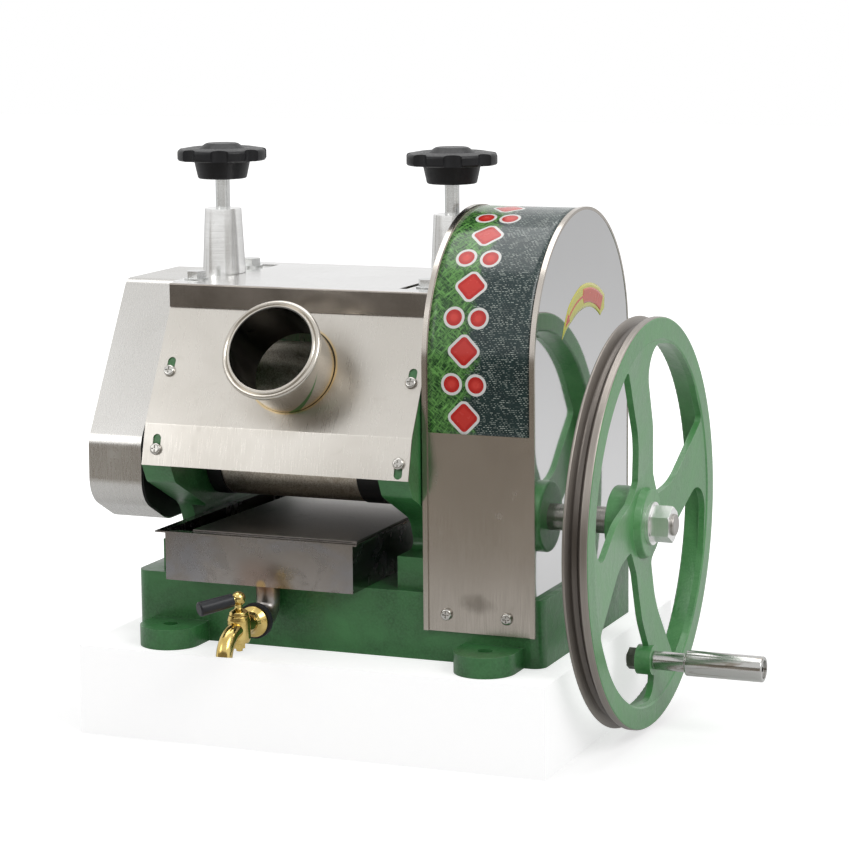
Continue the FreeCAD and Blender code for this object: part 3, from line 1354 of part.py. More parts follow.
def make_tray():
    wall = size["TraySheet"]
    body = prism("tray_body", "XY_Plane", tray_outline(measure(0)), tray_bottom, size["TrayHeight"])
    hollow(body, wall, Vector(0, 0, 1))
    flange = prism("tray_flange", "XY_Plane", tray_outline(size["TrayFlange"]), tray_top - wall, wall)
    opening = prism("tray_opening", "XY_Plane", tray_outline(-wall), tray_top - wall - 1, wall + 2)
    rim = cut("tray_rim", flange, opening)
    drain = cylinder("tray_drain", "Z", size["PipeBore"], wall * 6,
                     (size["PipeX"], -size["PipeY"], tray_bottom - wall * 2))
    return cut("tray_drained", fuse("tray_solid", body, rim), drain)


def make_strainer():
    """The flat drip sheet that lies on the tray, leaving a channel open at the left."""
    wall = size["TraySheet"]
    inset = size["StrainerInset"]
    front = -size["TrayFrontY"] + inset + 2
    back = size["TrayBackY"] - inset
    right = size["TrayRight"] - inset + 4
    left = size["StrainerLeft"]
    outline = [(left, front), (right, front), (right, back), (left + 16, back)]
    return prism("strainer_sheet", "XY_Plane", outline, tray_top, wall)


elbow_turn = Rotation(Vector(0, 1, 0), Vector(0, 0, -1), Vector(-1, 0, 0), "XYZ")


def pipe_run(name, radius, extra):
    """The drain's path at one radius: down, round a quarter bend and forwards."""
    bend = size["ElbowRadius"]
    bend_height = size["TapZ"] + bend
    down = cylinder(name + "_down", "Z", radius, tray_bottom - bend_height + extra,
                    (size["PipeX"], -size["PipeY"], bend_height))
    elbow = doc.addObject("Part::Torus", name + "_elbow")
    bind(elbow, "Radius1", bend)
    bind(elbow, "Radius2", radius)
    elbow.Angle3 = 90
    place(elbow, (size["PipeX"], -size["PipeY"] - bend, bend_height), elbow_turn)
    forward = cylinder(name + "_forward", "Y", radius, size["PipeEndY"] - size["PipeY"] - bend + extra,
                       (size["PipeX"], -size["PipeEndY"] - extra, size["TapZ"]))
    return fuse(name, down, elbow, forward)


def make_drain_pipe():
    return cut("drain_pipe_tube", pipe_run("drain_outer", size["PipeRadius"], 0),
               pipe_run("drain_bore", size["PipeBore"], 1))


def make_tap_washer():
    back = -size["PipeEndY"]
    disc = cylinder("tap_washer_disc", "Y", size["TapWasherRadius"], size["TapWasherThickness"],
                    (size["PipeX"], back - size["TapWasherThickness"], size["TapZ"]))
    hole = cylinder("tap_washer_hole", "Y", size["PipeBore"], size["TapWasherThickness"] + 2,
                    (size["PipeX"], back - size["TapWasherThickness"] - 1, size["TapZ"]))
    return cut("tap_washer_ring", disc, hole)


tap_face = size["PipeEndY"] + size["TapWasherThickness"]
barrel_low = size["TapZ"] - size["TapBarrelHalf"]


def make_tap_body():
    """Brass cock: dished flange, neck, upright barrel and a spout that bends down."""
    x = size["PipeX"]
    z = size["TapZ"]
    flange = size["TapFlangeRadius"]
    thick = size["TapFlangeThickness"]
    neck = size["TapNeckRadius"]
    barrel_y = size["BarrelY"]
    tail = 10
    forward = Rotation(Vector(0, 0, 1), -90)
    reach = barrel_y - tap_face
    stem = turned("tap_stem", forward,
                  [(-tail, 0), (-tail, size["PipeBore"] - 0.1), (0, size["PipeBore"] - 0.1), (0, flange, 0.8),
                   (thick, flange, 1.2), (thick + 4, neck + 2, 2.5), (thick + 8, neck, 2), (reach, neck),
                   (reach, 0)], (x, -tap_face, z))
    barrel = turned("tap_barrel", "Z",
                    [(0, 0), (0, size["TapBarrelRadius"] * 0.86, 1), (4, size["TapBarrelRadius"], 2),
                     (size["TapBarrelHalf"] * 2 - 4, size["TapBarrelRadius"], 2),
                     (size["TapBarrelHalf"] * 2, size["TapBarrelRadius"] * 0.9, 1),
                     (size["TapBarrelHalf"] * 2, 0)], (x, -barrel_y, barrel_low))
    solid = fuse("tap_body_solid", stem, barrel, spout_run("spout_outer", size["SpoutRadius"], 0))
    bore = cylinder("tap_bore", "Y", size["SpoutBore"], barrel_y - tap_face + tail + 2,
                    (x, -barrel_y - 1, z))
    seat = size["PlugRadius"] + size["RunningFit"]
    taper = cone("tap_taper", "Z", seat - size["PlugTaper"], seat, size["TapBarrelHalf"] * 2,
                 (x, -barrel_y, barrel_low))
    return cut("tap_body_bored", solid, bore, taper, spout_run("spout_bore", size["SpoutBore"], 1))


def spout_run(name, radius, extra):
    """The spout's path at one radius: forwards from the barrel, then a quarter bend down."""
    x = size["PipeX"]
    z = size["TapZ"]
    bend = size["SpoutBend"]
    bend_y = size["BarrelY"] + 8
    forward = cylinder(name + "_forward", "Y", radius, bend_y - size["BarrelY"], (x, -bend_y, z))
    elbow = doc.addObject("Part::Torus", name + "_elbow")
    bind(elbow, "Radius1", bend)
    bind(elbow, "Radius2", radius)
    elbow.Angle3 = 78
    turn = Rotation(Vector(0, 0, 1), Vector(0, -1, 0), Vector(1, 0, 0), "XYZ")
    place(elbow, (x, -bend_y, z - bend), turn)
    return fuse(name, forward, elbow)


lever_way = Rotation(Vector(0, 0, 1), 180 + float(size["LeverTurn"])).multiply(
    Rotation(Vector(0, 1, 0), float(size["LeverSlope"])))


def make_tap_plug():
    """The taper plug with a through hole, its ball top and the stem inside the lever's sleeve."""
    x = size["PipeX"]
    barrel_y = size["BarrelY"]
    fit = size["RunningFit"]
    low = size["PlugRadius"] - size["PlugTaper"]
    height = size["TapBarrelHalf"] * 2
    tail = size["TapTailLength"]
    top = size["BallZ"] - barrel_low
    head = height + size["PlugHead"]
    neck = size["StemRadius"] * 0.9
    profile = [(-tail, 0), (-tail, size["TapTailRadius"], 0.5), (0, size["TapTailRadius"]), (0, low),
               (height, size["PlugRadius"]), (height + 0.4, size["PlugRadius"] + 2.6, 0.5),
               (head, size["PlugRadius"] + 1.8, 1.2), (head + 3, neck, 1.5), (top, neck), (top, 0)]
    core = turned("plug_core", "Z", profile, (x, -barrel_y, barrel_low))
    ball = doc.addObject("Part::Sphere", "plug_ball")
    bind(ball, "Radius", size["BallRadius"])
    place(ball, (x, -barrel_y, size["BallZ"]))
    stem = turned("plug_stem", lever_way,
                  [(0, 0), (0, size["StemRadius"]), (size["LeverLength"] - 4, size["StemRadius"], 0.6),
                   (size["LeverLength"] - 4, 0)], (x, -barrel_y, size["BallZ"]))
    hole = cylinder("plug_hole", "Y", size["SpoutBore"] - fit, size["PlugRadius"] * 4,
                    (x, -barrel_y - size["PlugRadius"] * 2, size["TapZ"]))
    return cut("plug_bored", fuse("plug_solid", core, ball, stem), hole)


def make_sleeve():
    """The black grip sleeve on the tap lever."""
    start = size["SleeveStart"]
    end = size["LeverLength"]
    bore = size["StemRadius"] + size["RunningFit"]
    radius = size["SleeveRadius"]
    return turned("sleeve_turned", lever_way,
                  [(start, bore), (start, radius * 0.9, 0.8), (end - 1, radius, 1), (end, radius * 0.8, 0.5),
                   (end, 0), (end - 3.6, 0), (end - 3.6, bore)],
                  (size["PipeX"], -size["BarrelY"], size["BallZ"]))


def make_tap_nut():
    height = size["TapNutHeight"]
    x = size["PipeX"]
    low = barrel_low - height - 0.1
    solid = hexagon("tap_nut_prism", "Z", size["TapNutAcross"], height, (x, -size["BarrelY"], low))
    hole = cylinder("tap_nut_hole", "Z", size["TapTailRadius"] + size["RunningFit"], height + 2,
                    (x, -size["BarrelY"], low - 1))
    return cut("tap_nut_solid", solid, hole)


def make_turner_plate():
    """The fixed guide that turns the pressed cane from the first nip to the second."""
    top = size["TurnerTop"]
    half = size["TurnerHalf"]
    outline = [(-half, top, 1.5), (half, top, 1.5), (half * 0.6, top - size["TurnerDepth"] * 0.6, 4),
               (half * 0.25, top - size["TurnerDepth"], 2), (-half * 0.25, top - size["TurnerDepth"], 2),
               (-half * 0.6, top - size["TurnerDepth"] * 0.6, 4)]
    return prism("turner_bar", "YZ_Plane", list(reversed(outline)), left_frame_end,
                 right_frame_x - left_frame_end)


# The whole machine

def build():
    finish(make_base(), "base_casting")
    finish(make_frame("left", left_frame_x, size["LeftHubLength"],
                      left_frame_x - size["LeftFootProud"], size["LeftFootWidth"]), "left_side_frame")
    finish(make_frame("right", right_frame_x, size["RightHubLength"], right_frame_x, frame_thickness),
           "right_side_frame")
    finish(make_bracket(), "outboard_bearing_bracket")
    finish(make_foot_bolts(), "foot_bolts")
    for side in ("left", "right"):
        finish(make_cap(side), side + "_bearing_cap")
        finish(make_block(side), side + "_bearing_block")
        finish(make_thrust_pad(side), side + "_thrust_pad")
        finish(make_adjusting_screw(side), side + "_adjusting_screw")
        finish(make_knob(side), side + "_knob")
    finish(make_cap_bolts(), "cap_bolts")
    finish(make_cap_washers(), "cap_washers")
    finish(make_roller_bushes(), "roller_bushes")
    finish(make_crank_bushes(), "crank_bushes")

    gear_left = left_frame_x - size["LeftHubLength"] - size["RollerGearGap"] - size["RollerGearWidth"]
    main_end = size["MainGearStart"] + size["MainGearWidth"] + size["MainHubExtra"]
    main_key = finish(key_box("main_key", size["SeatRadius"], size["MainGearStart"],
                              size["MainGearWidth"] + size["MainHubExtra"], top_roller_z), "main_gear_key")
    for name, y in (("front_roller", -roller_y), ("back_roller", roller_y)):
        finish(make_roller(name, y, low_roller_z, gear_left - 2, None, True), name)
        finish(make_collars(name + "_collar", y), name + "_collars")
    top_shaft = make_roller("top_roller", 0, top_roller_z, gear_left - 2, main_end + 3, False)
    finish(cut("top_roller_keyed", top_shaft, main_key), "top_roller")

    teeth = size["RollerTeeth"]
    to_front = line_angle(-roller_y, -roller_drop)
    to_back = line_angle(roller_y, -roller_drop)
    finish(make_roller_gear("top_gear", 0, top_roller_z, to_front), "top_roller_gear")
    finish(make_roller_gear("front_gear", -roller_y, low_roller_z, meshing_phase(teeth, to_front + 180)),
           "front_roller_gear")
    pitch = 360.0 / float(teeth)
    lead = (to_back - to_front) % pitch
    finish(make_roller_gear("back_gear", roller_y, low_roller_z,
                            meshing_phase(teeth, to_back + 180) + lead), "back_roller_gear")
    finish(make_main_gear(main_key), "main_gear")

    pinion_length = size["MainGearWidth"] + size["PinionExtra"] * 2
    pinion_start = size["MainGearStart"] - size["PinionExtra"]
    pinion_key = finish(key_box("pinion_key_box", size["ShaftRadius"], pinion_start, pinion_length, crank_z),
                        "pinion_key")
    inset = size["KeyWidth"] / 2
    wheel_key = finish(key_box("flywheel_key_box", size["ShaftRadius"], size["RearBossStart"] + inset,
                               hub_front - size["RearBossStart"] - inset * 2, crank_z), "flywheel_key")
    finish(make_pinion(pinion_key), "pinion")
    finish(make_crank_shaft(pinion_key, wheel_key), "crank_shaft")
    finish(make_flywheel(wheel_key), "flywheel")
    finish(make_flywheel_washer(), "flywheel_washer")
    finish(make_flywheel_nut(), "flywheel_nut")
    finish(make_handle_pin(), "handle_pin")
    finish(make_handle_nut(), "handle_nut")
    finish(make_handle_grip(), "handle_grip")
    finish(make_handle_screw(), "handle_end_screw")

    finish(make_top_cover(), "top_cover")
    finish(make_front_cover(), "front_cover")
    finish(make_feed_tube(), "feed_tube")
    finish(make_back_cover(), "back_cover")
    finish(make_arch_cover(), "arch_cover")
    finish(make_arch_plate("far_arch", size["ArchEnd"] - size["Sheet"] - size["ArchPlateGap"],
                           [(crank_z, size["ShaftHoleRadius"])]), "arch_side_plate")
    finish(make_arch_plate("near_arch", size["ArchStart"] + size["ArchPlateGap"],
                           [(crank_z, size["ShaftHoleRadius"]), (top_roller_z, size["ShaftHoleRadius"] + 2)]),
           "arch_inner_plate")
    finish(make_left_cover(), "left_gear_cover")
    finish(make_left_back_plate(), "left_cover_back_plate")
    places = plate_screw_places(seated=True) + arch_screw_places() + post_screw_places()
    finish(copies("cover_screw_set", make_screw(), places), "cover_screws")

    finish(make_tray(), "juice_tray")
    finish(make_strainer(), "tray_strainer")
    finish(make_drain_pipe(), "drain_pipe")
    finish(make_tap_washer(), "tap_washer")
    finish(make_tap_body(), "tap_body")
    finish(make_tap_plug(), "tap_plug")
    finish(make_sleeve(), "tap_lever_sleeve")
    finish(make_tap_nut(), "tap_nut")
    finish(make_turner_plate(), "turner_plate")


def check_and_write():
    """Stop on anything that failed, then write one file for each sub-part."""
    doc.recompute()
    failed = [item.Name for item in doc.Objects if {"Invalid", "Error"} & set(item.State)]
    empty = [item.Label for item in finished if item.Shape.isNull() or not item.Shape.isValid()]
    if failed or empty:
        raise SystemExit("failed: " + ", ".join(failed) + "; not valid: " + ", ".join(empty))
    os.makedirs("parts", exist_ok=True)
    for item in finished:
        item.Shape.exportStep("parts/" + item.Label + ".step")
        print(item.Label, len(item.Shape.Solids), "solids", round(item.Shape.Volume), "mm3")


build()
check_and_write()
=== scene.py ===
import math

import bpy
import numpy as np
from mathutils import Matrix, Vector


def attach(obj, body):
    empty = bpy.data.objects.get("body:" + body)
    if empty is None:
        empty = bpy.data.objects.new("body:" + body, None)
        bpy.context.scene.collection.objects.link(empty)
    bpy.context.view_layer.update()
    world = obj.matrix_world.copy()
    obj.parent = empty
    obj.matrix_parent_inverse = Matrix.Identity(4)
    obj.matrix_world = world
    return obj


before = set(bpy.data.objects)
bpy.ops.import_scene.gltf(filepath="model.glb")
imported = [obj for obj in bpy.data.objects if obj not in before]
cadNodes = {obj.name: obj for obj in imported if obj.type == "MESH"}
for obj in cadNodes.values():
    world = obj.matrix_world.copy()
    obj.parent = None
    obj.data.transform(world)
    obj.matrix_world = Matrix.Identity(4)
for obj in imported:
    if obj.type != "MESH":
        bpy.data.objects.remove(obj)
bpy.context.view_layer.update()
scene = bpy.context.scene


# Helpers for shader trees

def feed(tree, socket, value):
    if isinstance(value, bpy.types.NodeSocket):
        tree.links.new(value, socket)
    else:
        socket.default_value = value


def addNode(tree, kind, inputs=None, **settings):
    node = tree.nodes.new(kind)
    for name, value in settings.items():
        setattr(node, name, value)
    for key, value in (inputs or {}).items():
        feed(tree, node.inputs[key], value)
    return node


def maths(tree, operation, *values, clamp=False):
    node = addNode(tree, "ShaderNodeMath", operation=operation, use_clamp=clamp)
    for socket, value in zip(node.inputs, values):
        feed(tree, socket, value)
    return node.outputs[0]


def times(tree, first, second):
    return maths(tree, "MULTIPLY", first, second)


def plus(tree, first, second, clamp=False):
    return maths(tree, "ADD", first, second, clamp=clamp)


def minus(tree, first, second):
    return maths(tree, "SUBTRACT", first, second)


def apart(tree, first, second):
    return maths(tree, "ABSOLUTE", minus(tree, first, second))


def diagonal(tree, first, second):
    return maths(tree, "SQRT", plus(tree, times(tree, first, first), times(tree, second, second)))


def below(tree, value, limit):
    return maths(tree, "LESS_THAN", value, limit)


def vectorMaths(tree, operation, *values):
    node = addNode(tree, "ShaderNodeVectorMath", operation=operation)
    for socket, value in zip(node.inputs, values):
        feed(tree, socket, value)
    return node.outputs["Value"] if operation in ("LENGTH", "DISTANCE", "DOT_PRODUCT") else node.outputs[0]


def remap(tree, value, low, high, toLow=0.0, toHigh=1.0, soft=False):
    node = addNode(tree, "ShaderNodeMapRange", {"Value": value, "From Min": low, "From Max": high,
                                                "To Min": toLow, "To Max": toHigh})
    if soft:
        node.interpolation_type = "SMOOTHSTEP"
    return node.outputs[0]


def noise(tree, place, scale, detail=2.0, rough=0.5, twist=0.0):
    node = addNode(tree, "ShaderNodeTexNoise", {"Vector": place, "Scale": scale, "Detail": detail,
                                                "Roughness": rough, "Distortion": twist})
    return node.outputs["Fac"]


def blend(tree, amount, first, second, way="MIX"):
    node = addNode(tree, "ShaderNodeMix", data_type="RGBA", blend_type=way)
    feed(tree, node.inputs[0], amount)
    feed(tree, node.inputs[6], first if isinstance(first, bpy.types.NodeSocket) else (*first, 1.0))
    feed(tree, node.inputs[7], second if isinstance(second, bpy.types.NodeSocket) else (*second, 1.0))
    return node.outputs[2]


def mixNumbers(tree, amount, first, second):
    return addNode(tree, "ShaderNodeMix", {0: amount, 2: first, 3: second}).outputs[0]


def joinUp(tree, x, y, z):
    return addNode(tree, "ShaderNodeCombineXYZ", {0: x, 1: y, 2: z}).outputs[0]


def objectPlace(tree):
    return addNode(tree, "ShaderNodeTexCoord").outputs["Object"]


def splitUp(tree, place):
    node = addNode(tree, "ShaderNodeSeparateXYZ", {0: place})
    return node.outputs[0], node.outputs[1], node.outputs[2]


# Shared effects: one node group each, with named inputs and outputs

def newGroup(name, inputs, outputs):
    group = bpy.data.node_groups.new(name, "ShaderNodeTree")
    for socketName, kind, value in inputs:
        socket = group.interface.new_socket(socketName, in_out="INPUT", socket_type=kind)
        if value is not None:
            socket.default_value = value
    for socketName, kind in outputs:
        group.interface.new_socket(socketName, in_out="OUTPUT", socket_type=kind)
    return group, group.nodes.new("NodeGroupInput").outputs, group.nodes.new("NodeGroupOutput").inputs


def makeBrushedLines():
    # fine noise pulled long across one direction, and slow clouds of handling over it
    group, given, out = newGroup("brushed lines", [
        ("Place", "NodeSocketVector", None), ("Stretch", "NodeSocketVector", (1.0, 1.0, 1.0)),
        ("Fineness", "NodeSocketFloat", 900.0), ("Cloud Size", "NodeSocketFloat", 11.0)],
        [("Lines", "NodeSocketFloat"), ("Clouds", "NodeSocketFloat")])
    pulled = vectorMaths(group, "MULTIPLY", given["Place"], given["Stretch"])
    fine = noise(group, pulled, given["Fineness"], 3.0, 0.6)
    feed(group, out["Lines"], remap(group, fine, 0.3, 0.7))
    feed(group, out["Clouds"], remap(group, noise(group, given["Place"], given["Cloud Size"], 3.0, 0.55, 0.6),
                                     0.32, 0.7))
    return group


def makeCastSkin():
    # orange peel of thick paint over sand-cast iron: two sizes of soft noise and a slow mottle
    group, given, out = newGroup("cast skin", [
        ("Place", "NodeSocketVector", None), ("Grain", "NodeSocketFloat", 420.0),
        ("Mottle Size", "NodeSocketFloat", 26.0)],
        [("Height", "NodeSocketFloat"), ("Mottle", "NodeSocketFloat"), ("Specks", "NodeSocketFloat")])
    grain = noise(group, given["Place"], given["Grain"], 2.0, 0.55)
    dents = noise(group, given["Place"], times(group, given["Grain"], 0.22), 1.0, 0.5, 0.4)
    feed(group, out["Height"], plus(group, times(group, grain, 0.6), times(group, dents, 0.9)))
    slow = noise(group, given["Place"], given["Mottle Size"], 4.0, 0.6, 0.3)
    feed(group, out["Mottle"], remap(group, slow, 0.34, 0.68))
    feed(group, out["Specks"], remap(group, grain, 0.38, 0.66))
    return group


def makeSmears():
    # cloudy wiped patches with a soft edge, such as oil and finger marks leave on metal
    group, given, out = newGroup("smears", [
        ("Place", "NodeSocketVector", None), ("Size", "NodeSocketFloat", 22.0),
        ("Cover", "NodeSocketFloat", 0.5)], [("Mask", "NodeSocketFloat")])
    patches = noise(group, given["Place"], given["Size"], 4.0, 0.62, 1.6)
    low = minus(group, 0.72, times(group, given["Cover"], 0.34))
    feed(group, out["Mask"], remap(group, patches, low, plus(group, low, 0.16), soft=True))
    return group


def makeWornEdges():
    # how far the rounded normal leaves the true one, which is only near a sharp edge
    group, given, out = newGroup("worn edges", [("Place", "NodeSocketVector", None)],
                                 [("Mask", "NodeSocketFloat")])
    rounded = addNode(group, "ShaderNodeBevel", {"Radius": 0.0012}, samples=4).outputs[0]
    true = addNode(group, "ShaderNodeNewGeometry").outputs["Normal"]
    turned = minus(group, 1.0, vectorMaths(group, "DOT_PRODUCT", rounded, true))
    rub = remap(group, noise(group, given["Place"], 90.0, 3.0), 0.35, 0.6)
    feed(group, out["Mask"], times(group, remap(group, turned, 0.02, 0.2), rub))
    return group


brushedLines = makeBrushedLines()
castSkin = makeCastSkin()
smears = makeSmears()
wornEdges = makeWornEdges()


def useGroup(tree, group, **inputs):
    node = addNode(tree, "ShaderNodeGroup", node_tree=group)
    for name, value in inputs.items():
        feed(tree, node.inputs[name.replace("_", " ")], value)
    return node.outputs


def newMaterial(name, **plain):
    # plain numbers go straight on the shader's own sockets
    material = bpy.data.materials.new(name)
    material.use_nodes = True
    tree = material.node_tree
    tree.nodes.clear()
    shader = addNode(tree, "ShaderNodeBsdfPrincipled")
    output = addNode(tree, "ShaderNodeOutputMaterial")
    tree.links.new(shader.outputs[0], output.inputs[0])
    for name, value in plain.items():
        shader.inputs[name.replace("_", " ")].default_value = value
    return material, tree, shader.inputs


def bump(tree, height, distance, strength=1.0):
    return addNode(tree, "ShaderNodeBump", {"Height": height, "Distance": distance,
                                            "Strength": strength}).outputs[0]


def dress(material, *names):
    for name in names:
        for slot in cadNodes[name].material_slots:
            slot.material = material


# Green enamel on the castings

greenPaint = {"deep": (0.022, 0.118, 0.030), "light": (0.052, 0.225, 0.066), "worn": (0.20, 0.40, 0.22),
              "grain": 430.0, "peel": 0.0006}


def makeGreenEnamel():
    material, tree, put = newMaterial("green enamel", Coat_Roughness=0.2, Coat_Weight=0.3)
    place = objectPlace(tree)
    skin = useGroup(tree, castSkin, Place=place, Grain=greenPaint["grain"])
    base = blend(tree, skin["Mottle"], greenPaint["deep"], greenPaint["light"])
    speckled = blend(tree, times(tree, skin["Specks"], 0.6), base, greenPaint["light"])
    edges = useGroup(tree, wornEdges, Place=place)["Mask"]
    worn = blend(tree, times(tree, edges, 0.55), speckled, greenPaint["worn"])
    feed(tree, put["Base Color"], worn)
    feed(tree, put["Roughness"], remap(tree, skin["Mottle"], 0.0, 1.0, 0.30, 0.46))
    feed(tree, put["Normal"], bump(tree, skin["Height"], greenPaint["peel"]))
    return material


wheelPaint = {"deep": (0.055, 0.235, 0.065), "light": (0.105, 0.335, 0.112), "worn": (0.34, 0.52, 0.34),
              "bare": (0.33, 0.30, 0.27), "bareInShade": (0.105, 0.092, 0.082), "axisHeight": 0.114,
              "rim": 0.1897, "grooveMiddle": 0.2528, "grooveHalf": 0.0076, "grooveFloor": 0.1815,
              "shadeFullBelow": 0.1825, "shadeEndsAbove": 0.190}


def makeWheelEnamel():
    # the same enamel, worn off the running face and the belt groove of the rim
    material, tree, put = newMaterial("wheel enamel", Coat_Roughness=0.18)
    place = objectPlace(tree)
    x, y, z = splitUp(tree, place)
    skin = useGroup(tree, castSkin, Place=place, Grain=greenPaint["grain"])
    fromAxis = diagonal(tree, y, minus(tree, z, wheelPaint["axisHeight"]))
    outside = maths(tree, "GREATER_THAN", fromAxis, wheelPaint["rim"])
    middle = below(tree, apart(tree, x, wheelPaint["grooveMiddle"]), wheelPaint["grooveHalf"])
    groove = times(tree, middle, maths(tree, "GREATER_THAN", fromAxis, wheelPaint["grooveFloor"]))
    bare = maths(tree, "MAXIMUM", outside, groove)
    paint = blend(tree, skin["Mottle"], wheelPaint["deep"], wheelPaint["light"])
    paint = blend(tree, times(tree, skin["Specks"], 0.5), paint, wheelPaint["light"])
    edges = useGroup(tree, wornEdges, Place=place)["Mask"]
    paint = blend(tree, times(tree, edges, 0.6), paint, wheelPaint["worn"])
    lines = useGroup(tree, brushedLines, Place=joinUp(tree, x, fromAxis, 0.0), Fineness=1500.0)
    # painted shade: the bare steel of the rim darkens towards the floor of the belt groove
    deep = remap(tree, fromAxis, wheelPaint["shadeFullBelow"], wheelPaint["shadeEndsAbove"], 0.15, 1.0)
    steel = blend(tree, times(tree, deep, remap(tree, lines["Lines"], 0.0, 1.0, 0.6, 1.0)),
                  wheelPaint["bareInShade"], wheelPaint["bare"])
    feed(tree, put["Base Color"], blend(tree, bare, paint, steel))
    feed(tree, put["Metallic"], times(tree, bare, 0.85))
    painted = remap(tree, skin["Mottle"], 0.0, 1.0, 0.32, 0.48)
    feed(tree, put["Roughness"], mixNumbers(tree, bare, painted, 0.36))
    feed(tree, put["Coat Weight"], times(tree, minus(tree, 1.0, bare), 0.45))
    height = mixNumbers(tree, bare, skin["Height"], times(tree, lines["Lines"], 0.2))
    feed(tree, put["Normal"], bump(tree, height, greenPaint["peel"] * 0.7))
    return material


dress(makeGreenEnamel(), "base_casting", "left_side_frame", "right_side_frame", "outboard_bearing_bracket")
dress(makeWheelEnamel(), "flywheel")
print("castings painted")


# Sheet steel covers

sheetSteel = {
    "front": {"colour": (0.56, 0.535, 0.495), "dull": (0.40, 0.375, 0.335), "rough": 0.26,
              "stretch": (1.0, 0.05, 0.05), "smear": 0.40, "lines": 0.12, "score": 0.25},
    "top": {"colour": (0.74, 0.735, 0.73), "dull": (0.60, 0.59, 0.58), "rough": 0.20,
            "stretch": (1.0, 0.05, 1.0), "smear": 0.2, "lines": 0.2, "score": 0.4},
    "side": {"colour": (0.60, 0.59, 0.57), "dull": (0.45, 0.435, 0.41), "rough": 0.24,
             "stretch": (1.0, 0.05, 0.05), "smear": 0.3, "lines": 0.2, "score": 0.3},
    "band": {"colour": (0.56, 0.52, 0.475), "dull": (0.40, 0.365, 0.325), "rough": 0.17,
             "stretch": (1.0, 0.04, 0.04), "smear": 0.35, "lines": 0.25, "score": 0.4},
    "tray": {"colour": (0.36, 0.34, 0.325), "dull": (0.18, 0.17, 0.165), "rough": 0.18,
             "stretch": (1.0, 0.2, 0.25), "smear": 0.75, "lines": 0.1, "score": 0.1},
}
feedWeld = {"middle": (-0.0391, -0.12367, 0.2593), "slope": math.radians(28.95), "radius": 0.0413,
            "bore": 0.0404, "joint": (0.0004, 0.0011), "straw": (0.0008, 0.0026), "warmShade": (-0.002, 0.032)}


def makeSheet(name, look, tint=None):
    material, tree, put = newMaterial(name, Metallic=1.0)
    place = objectPlace(tree)
    grain = useGroup(tree, brushedLines, Place=place, Stretch=look["stretch"])
    dirt = useGroup(tree, smears, Place=place, Cover=look["smear"])["Mask"]
    shade = plus(tree, times(tree, grain["Lines"], look["lines"]), times(tree, grain["Clouds"], 0.4), clamp=True)
    colour = blend(tree, shade, look["colour"], look["dull"])
    colour = blend(tree, times(tree, dirt, 0.35), colour, look["dull"])
    if tint:
        colour = tint(tree, place, colour)
    feed(tree, put["Base Color"], colour)
    rough = plus(tree, look["rough"], times(tree, grain["Lines"], 0.07))
    feed(tree, put["Roughness"], plus(tree, rough, times(tree, dirt, 0.09)))
    feed(tree, put["Normal"], bump(tree, grain["Lines"], 0.00002, look["score"]))
    return material


def fromFeedAxis(tree, away):
    # place along the feed tube's axis, and the square of the distance from that axis
    axis = (0.0, -math.cos(feedWeld["slope"]), math.sin(feedWeld["slope"]))
    along = vectorMaths(tree, "DOT_PRODUCT", away, axis)
    reach = vectorMaths(tree, "LENGTH", away)
    return along, minus(tree, times(tree, reach, reach), times(tree, along, along))


def ringTint(tree, distance, limits, soft=False):
    # full within the first limit from the tube's wall and gone past the second
    low, high = limits
    return remap(tree, distance, feedWeld["radius"] + high, feedWeld["radius"] + low, soft=soft)


def weldTint(tree, place, colour):
    # round the feed tube: a dark joint, a straw ring, and a warm painted shade, wider at the right and below
    away = vectorMaths(tree, "SUBTRACT", place, feedWeld["middle"])
    square = fromFeedAxis(tree, away)[1]
    ring = maths(tree, "SQRT", maths(tree, "MAXIMUM", square, 0.0))
    wander = times(tree, noise(tree, place, 60.0, 3.0), 0.0016)
    joint = ringTint(tree, ring, feedWeld["joint"])
    straw = ringTint(tree, minus(tree, ring, wander), feedWeld["straw"], soft=True)
    x, _, z = splitUp(tree, away)
    # painted shade: a warm darkening about the tube, stronger to the right of it and below it
    lean = remap(tree, minus(tree, x, z), -0.05, 0.05, 0.25, 1.0)
    clouds = remap(tree, noise(tree, place, 24.0, 3.0, 0.55, 0.5), 0.3, 0.7, 0.4, 1.0)
    warmShade = times(tree, ringTint(tree, ring, feedWeld["warmShade"], soft=True), times(tree, lean, clouds))
    colour = blend(tree, times(tree, warmShade, 0.75), colour, (0.27, 0.235, 0.19))
    colour = blend(tree, times(tree, straw, 0.6), colour, (0.60, 0.43, 0.17))
    return blend(tree, joint, colour, (0.045, 0.042, 0.034))


tubeStreak = {"middle": 1.40, "lean": 34.0, "half": 0.15, "narrow": 4.6, "paint": (0.045, 0.25, 0.05)}


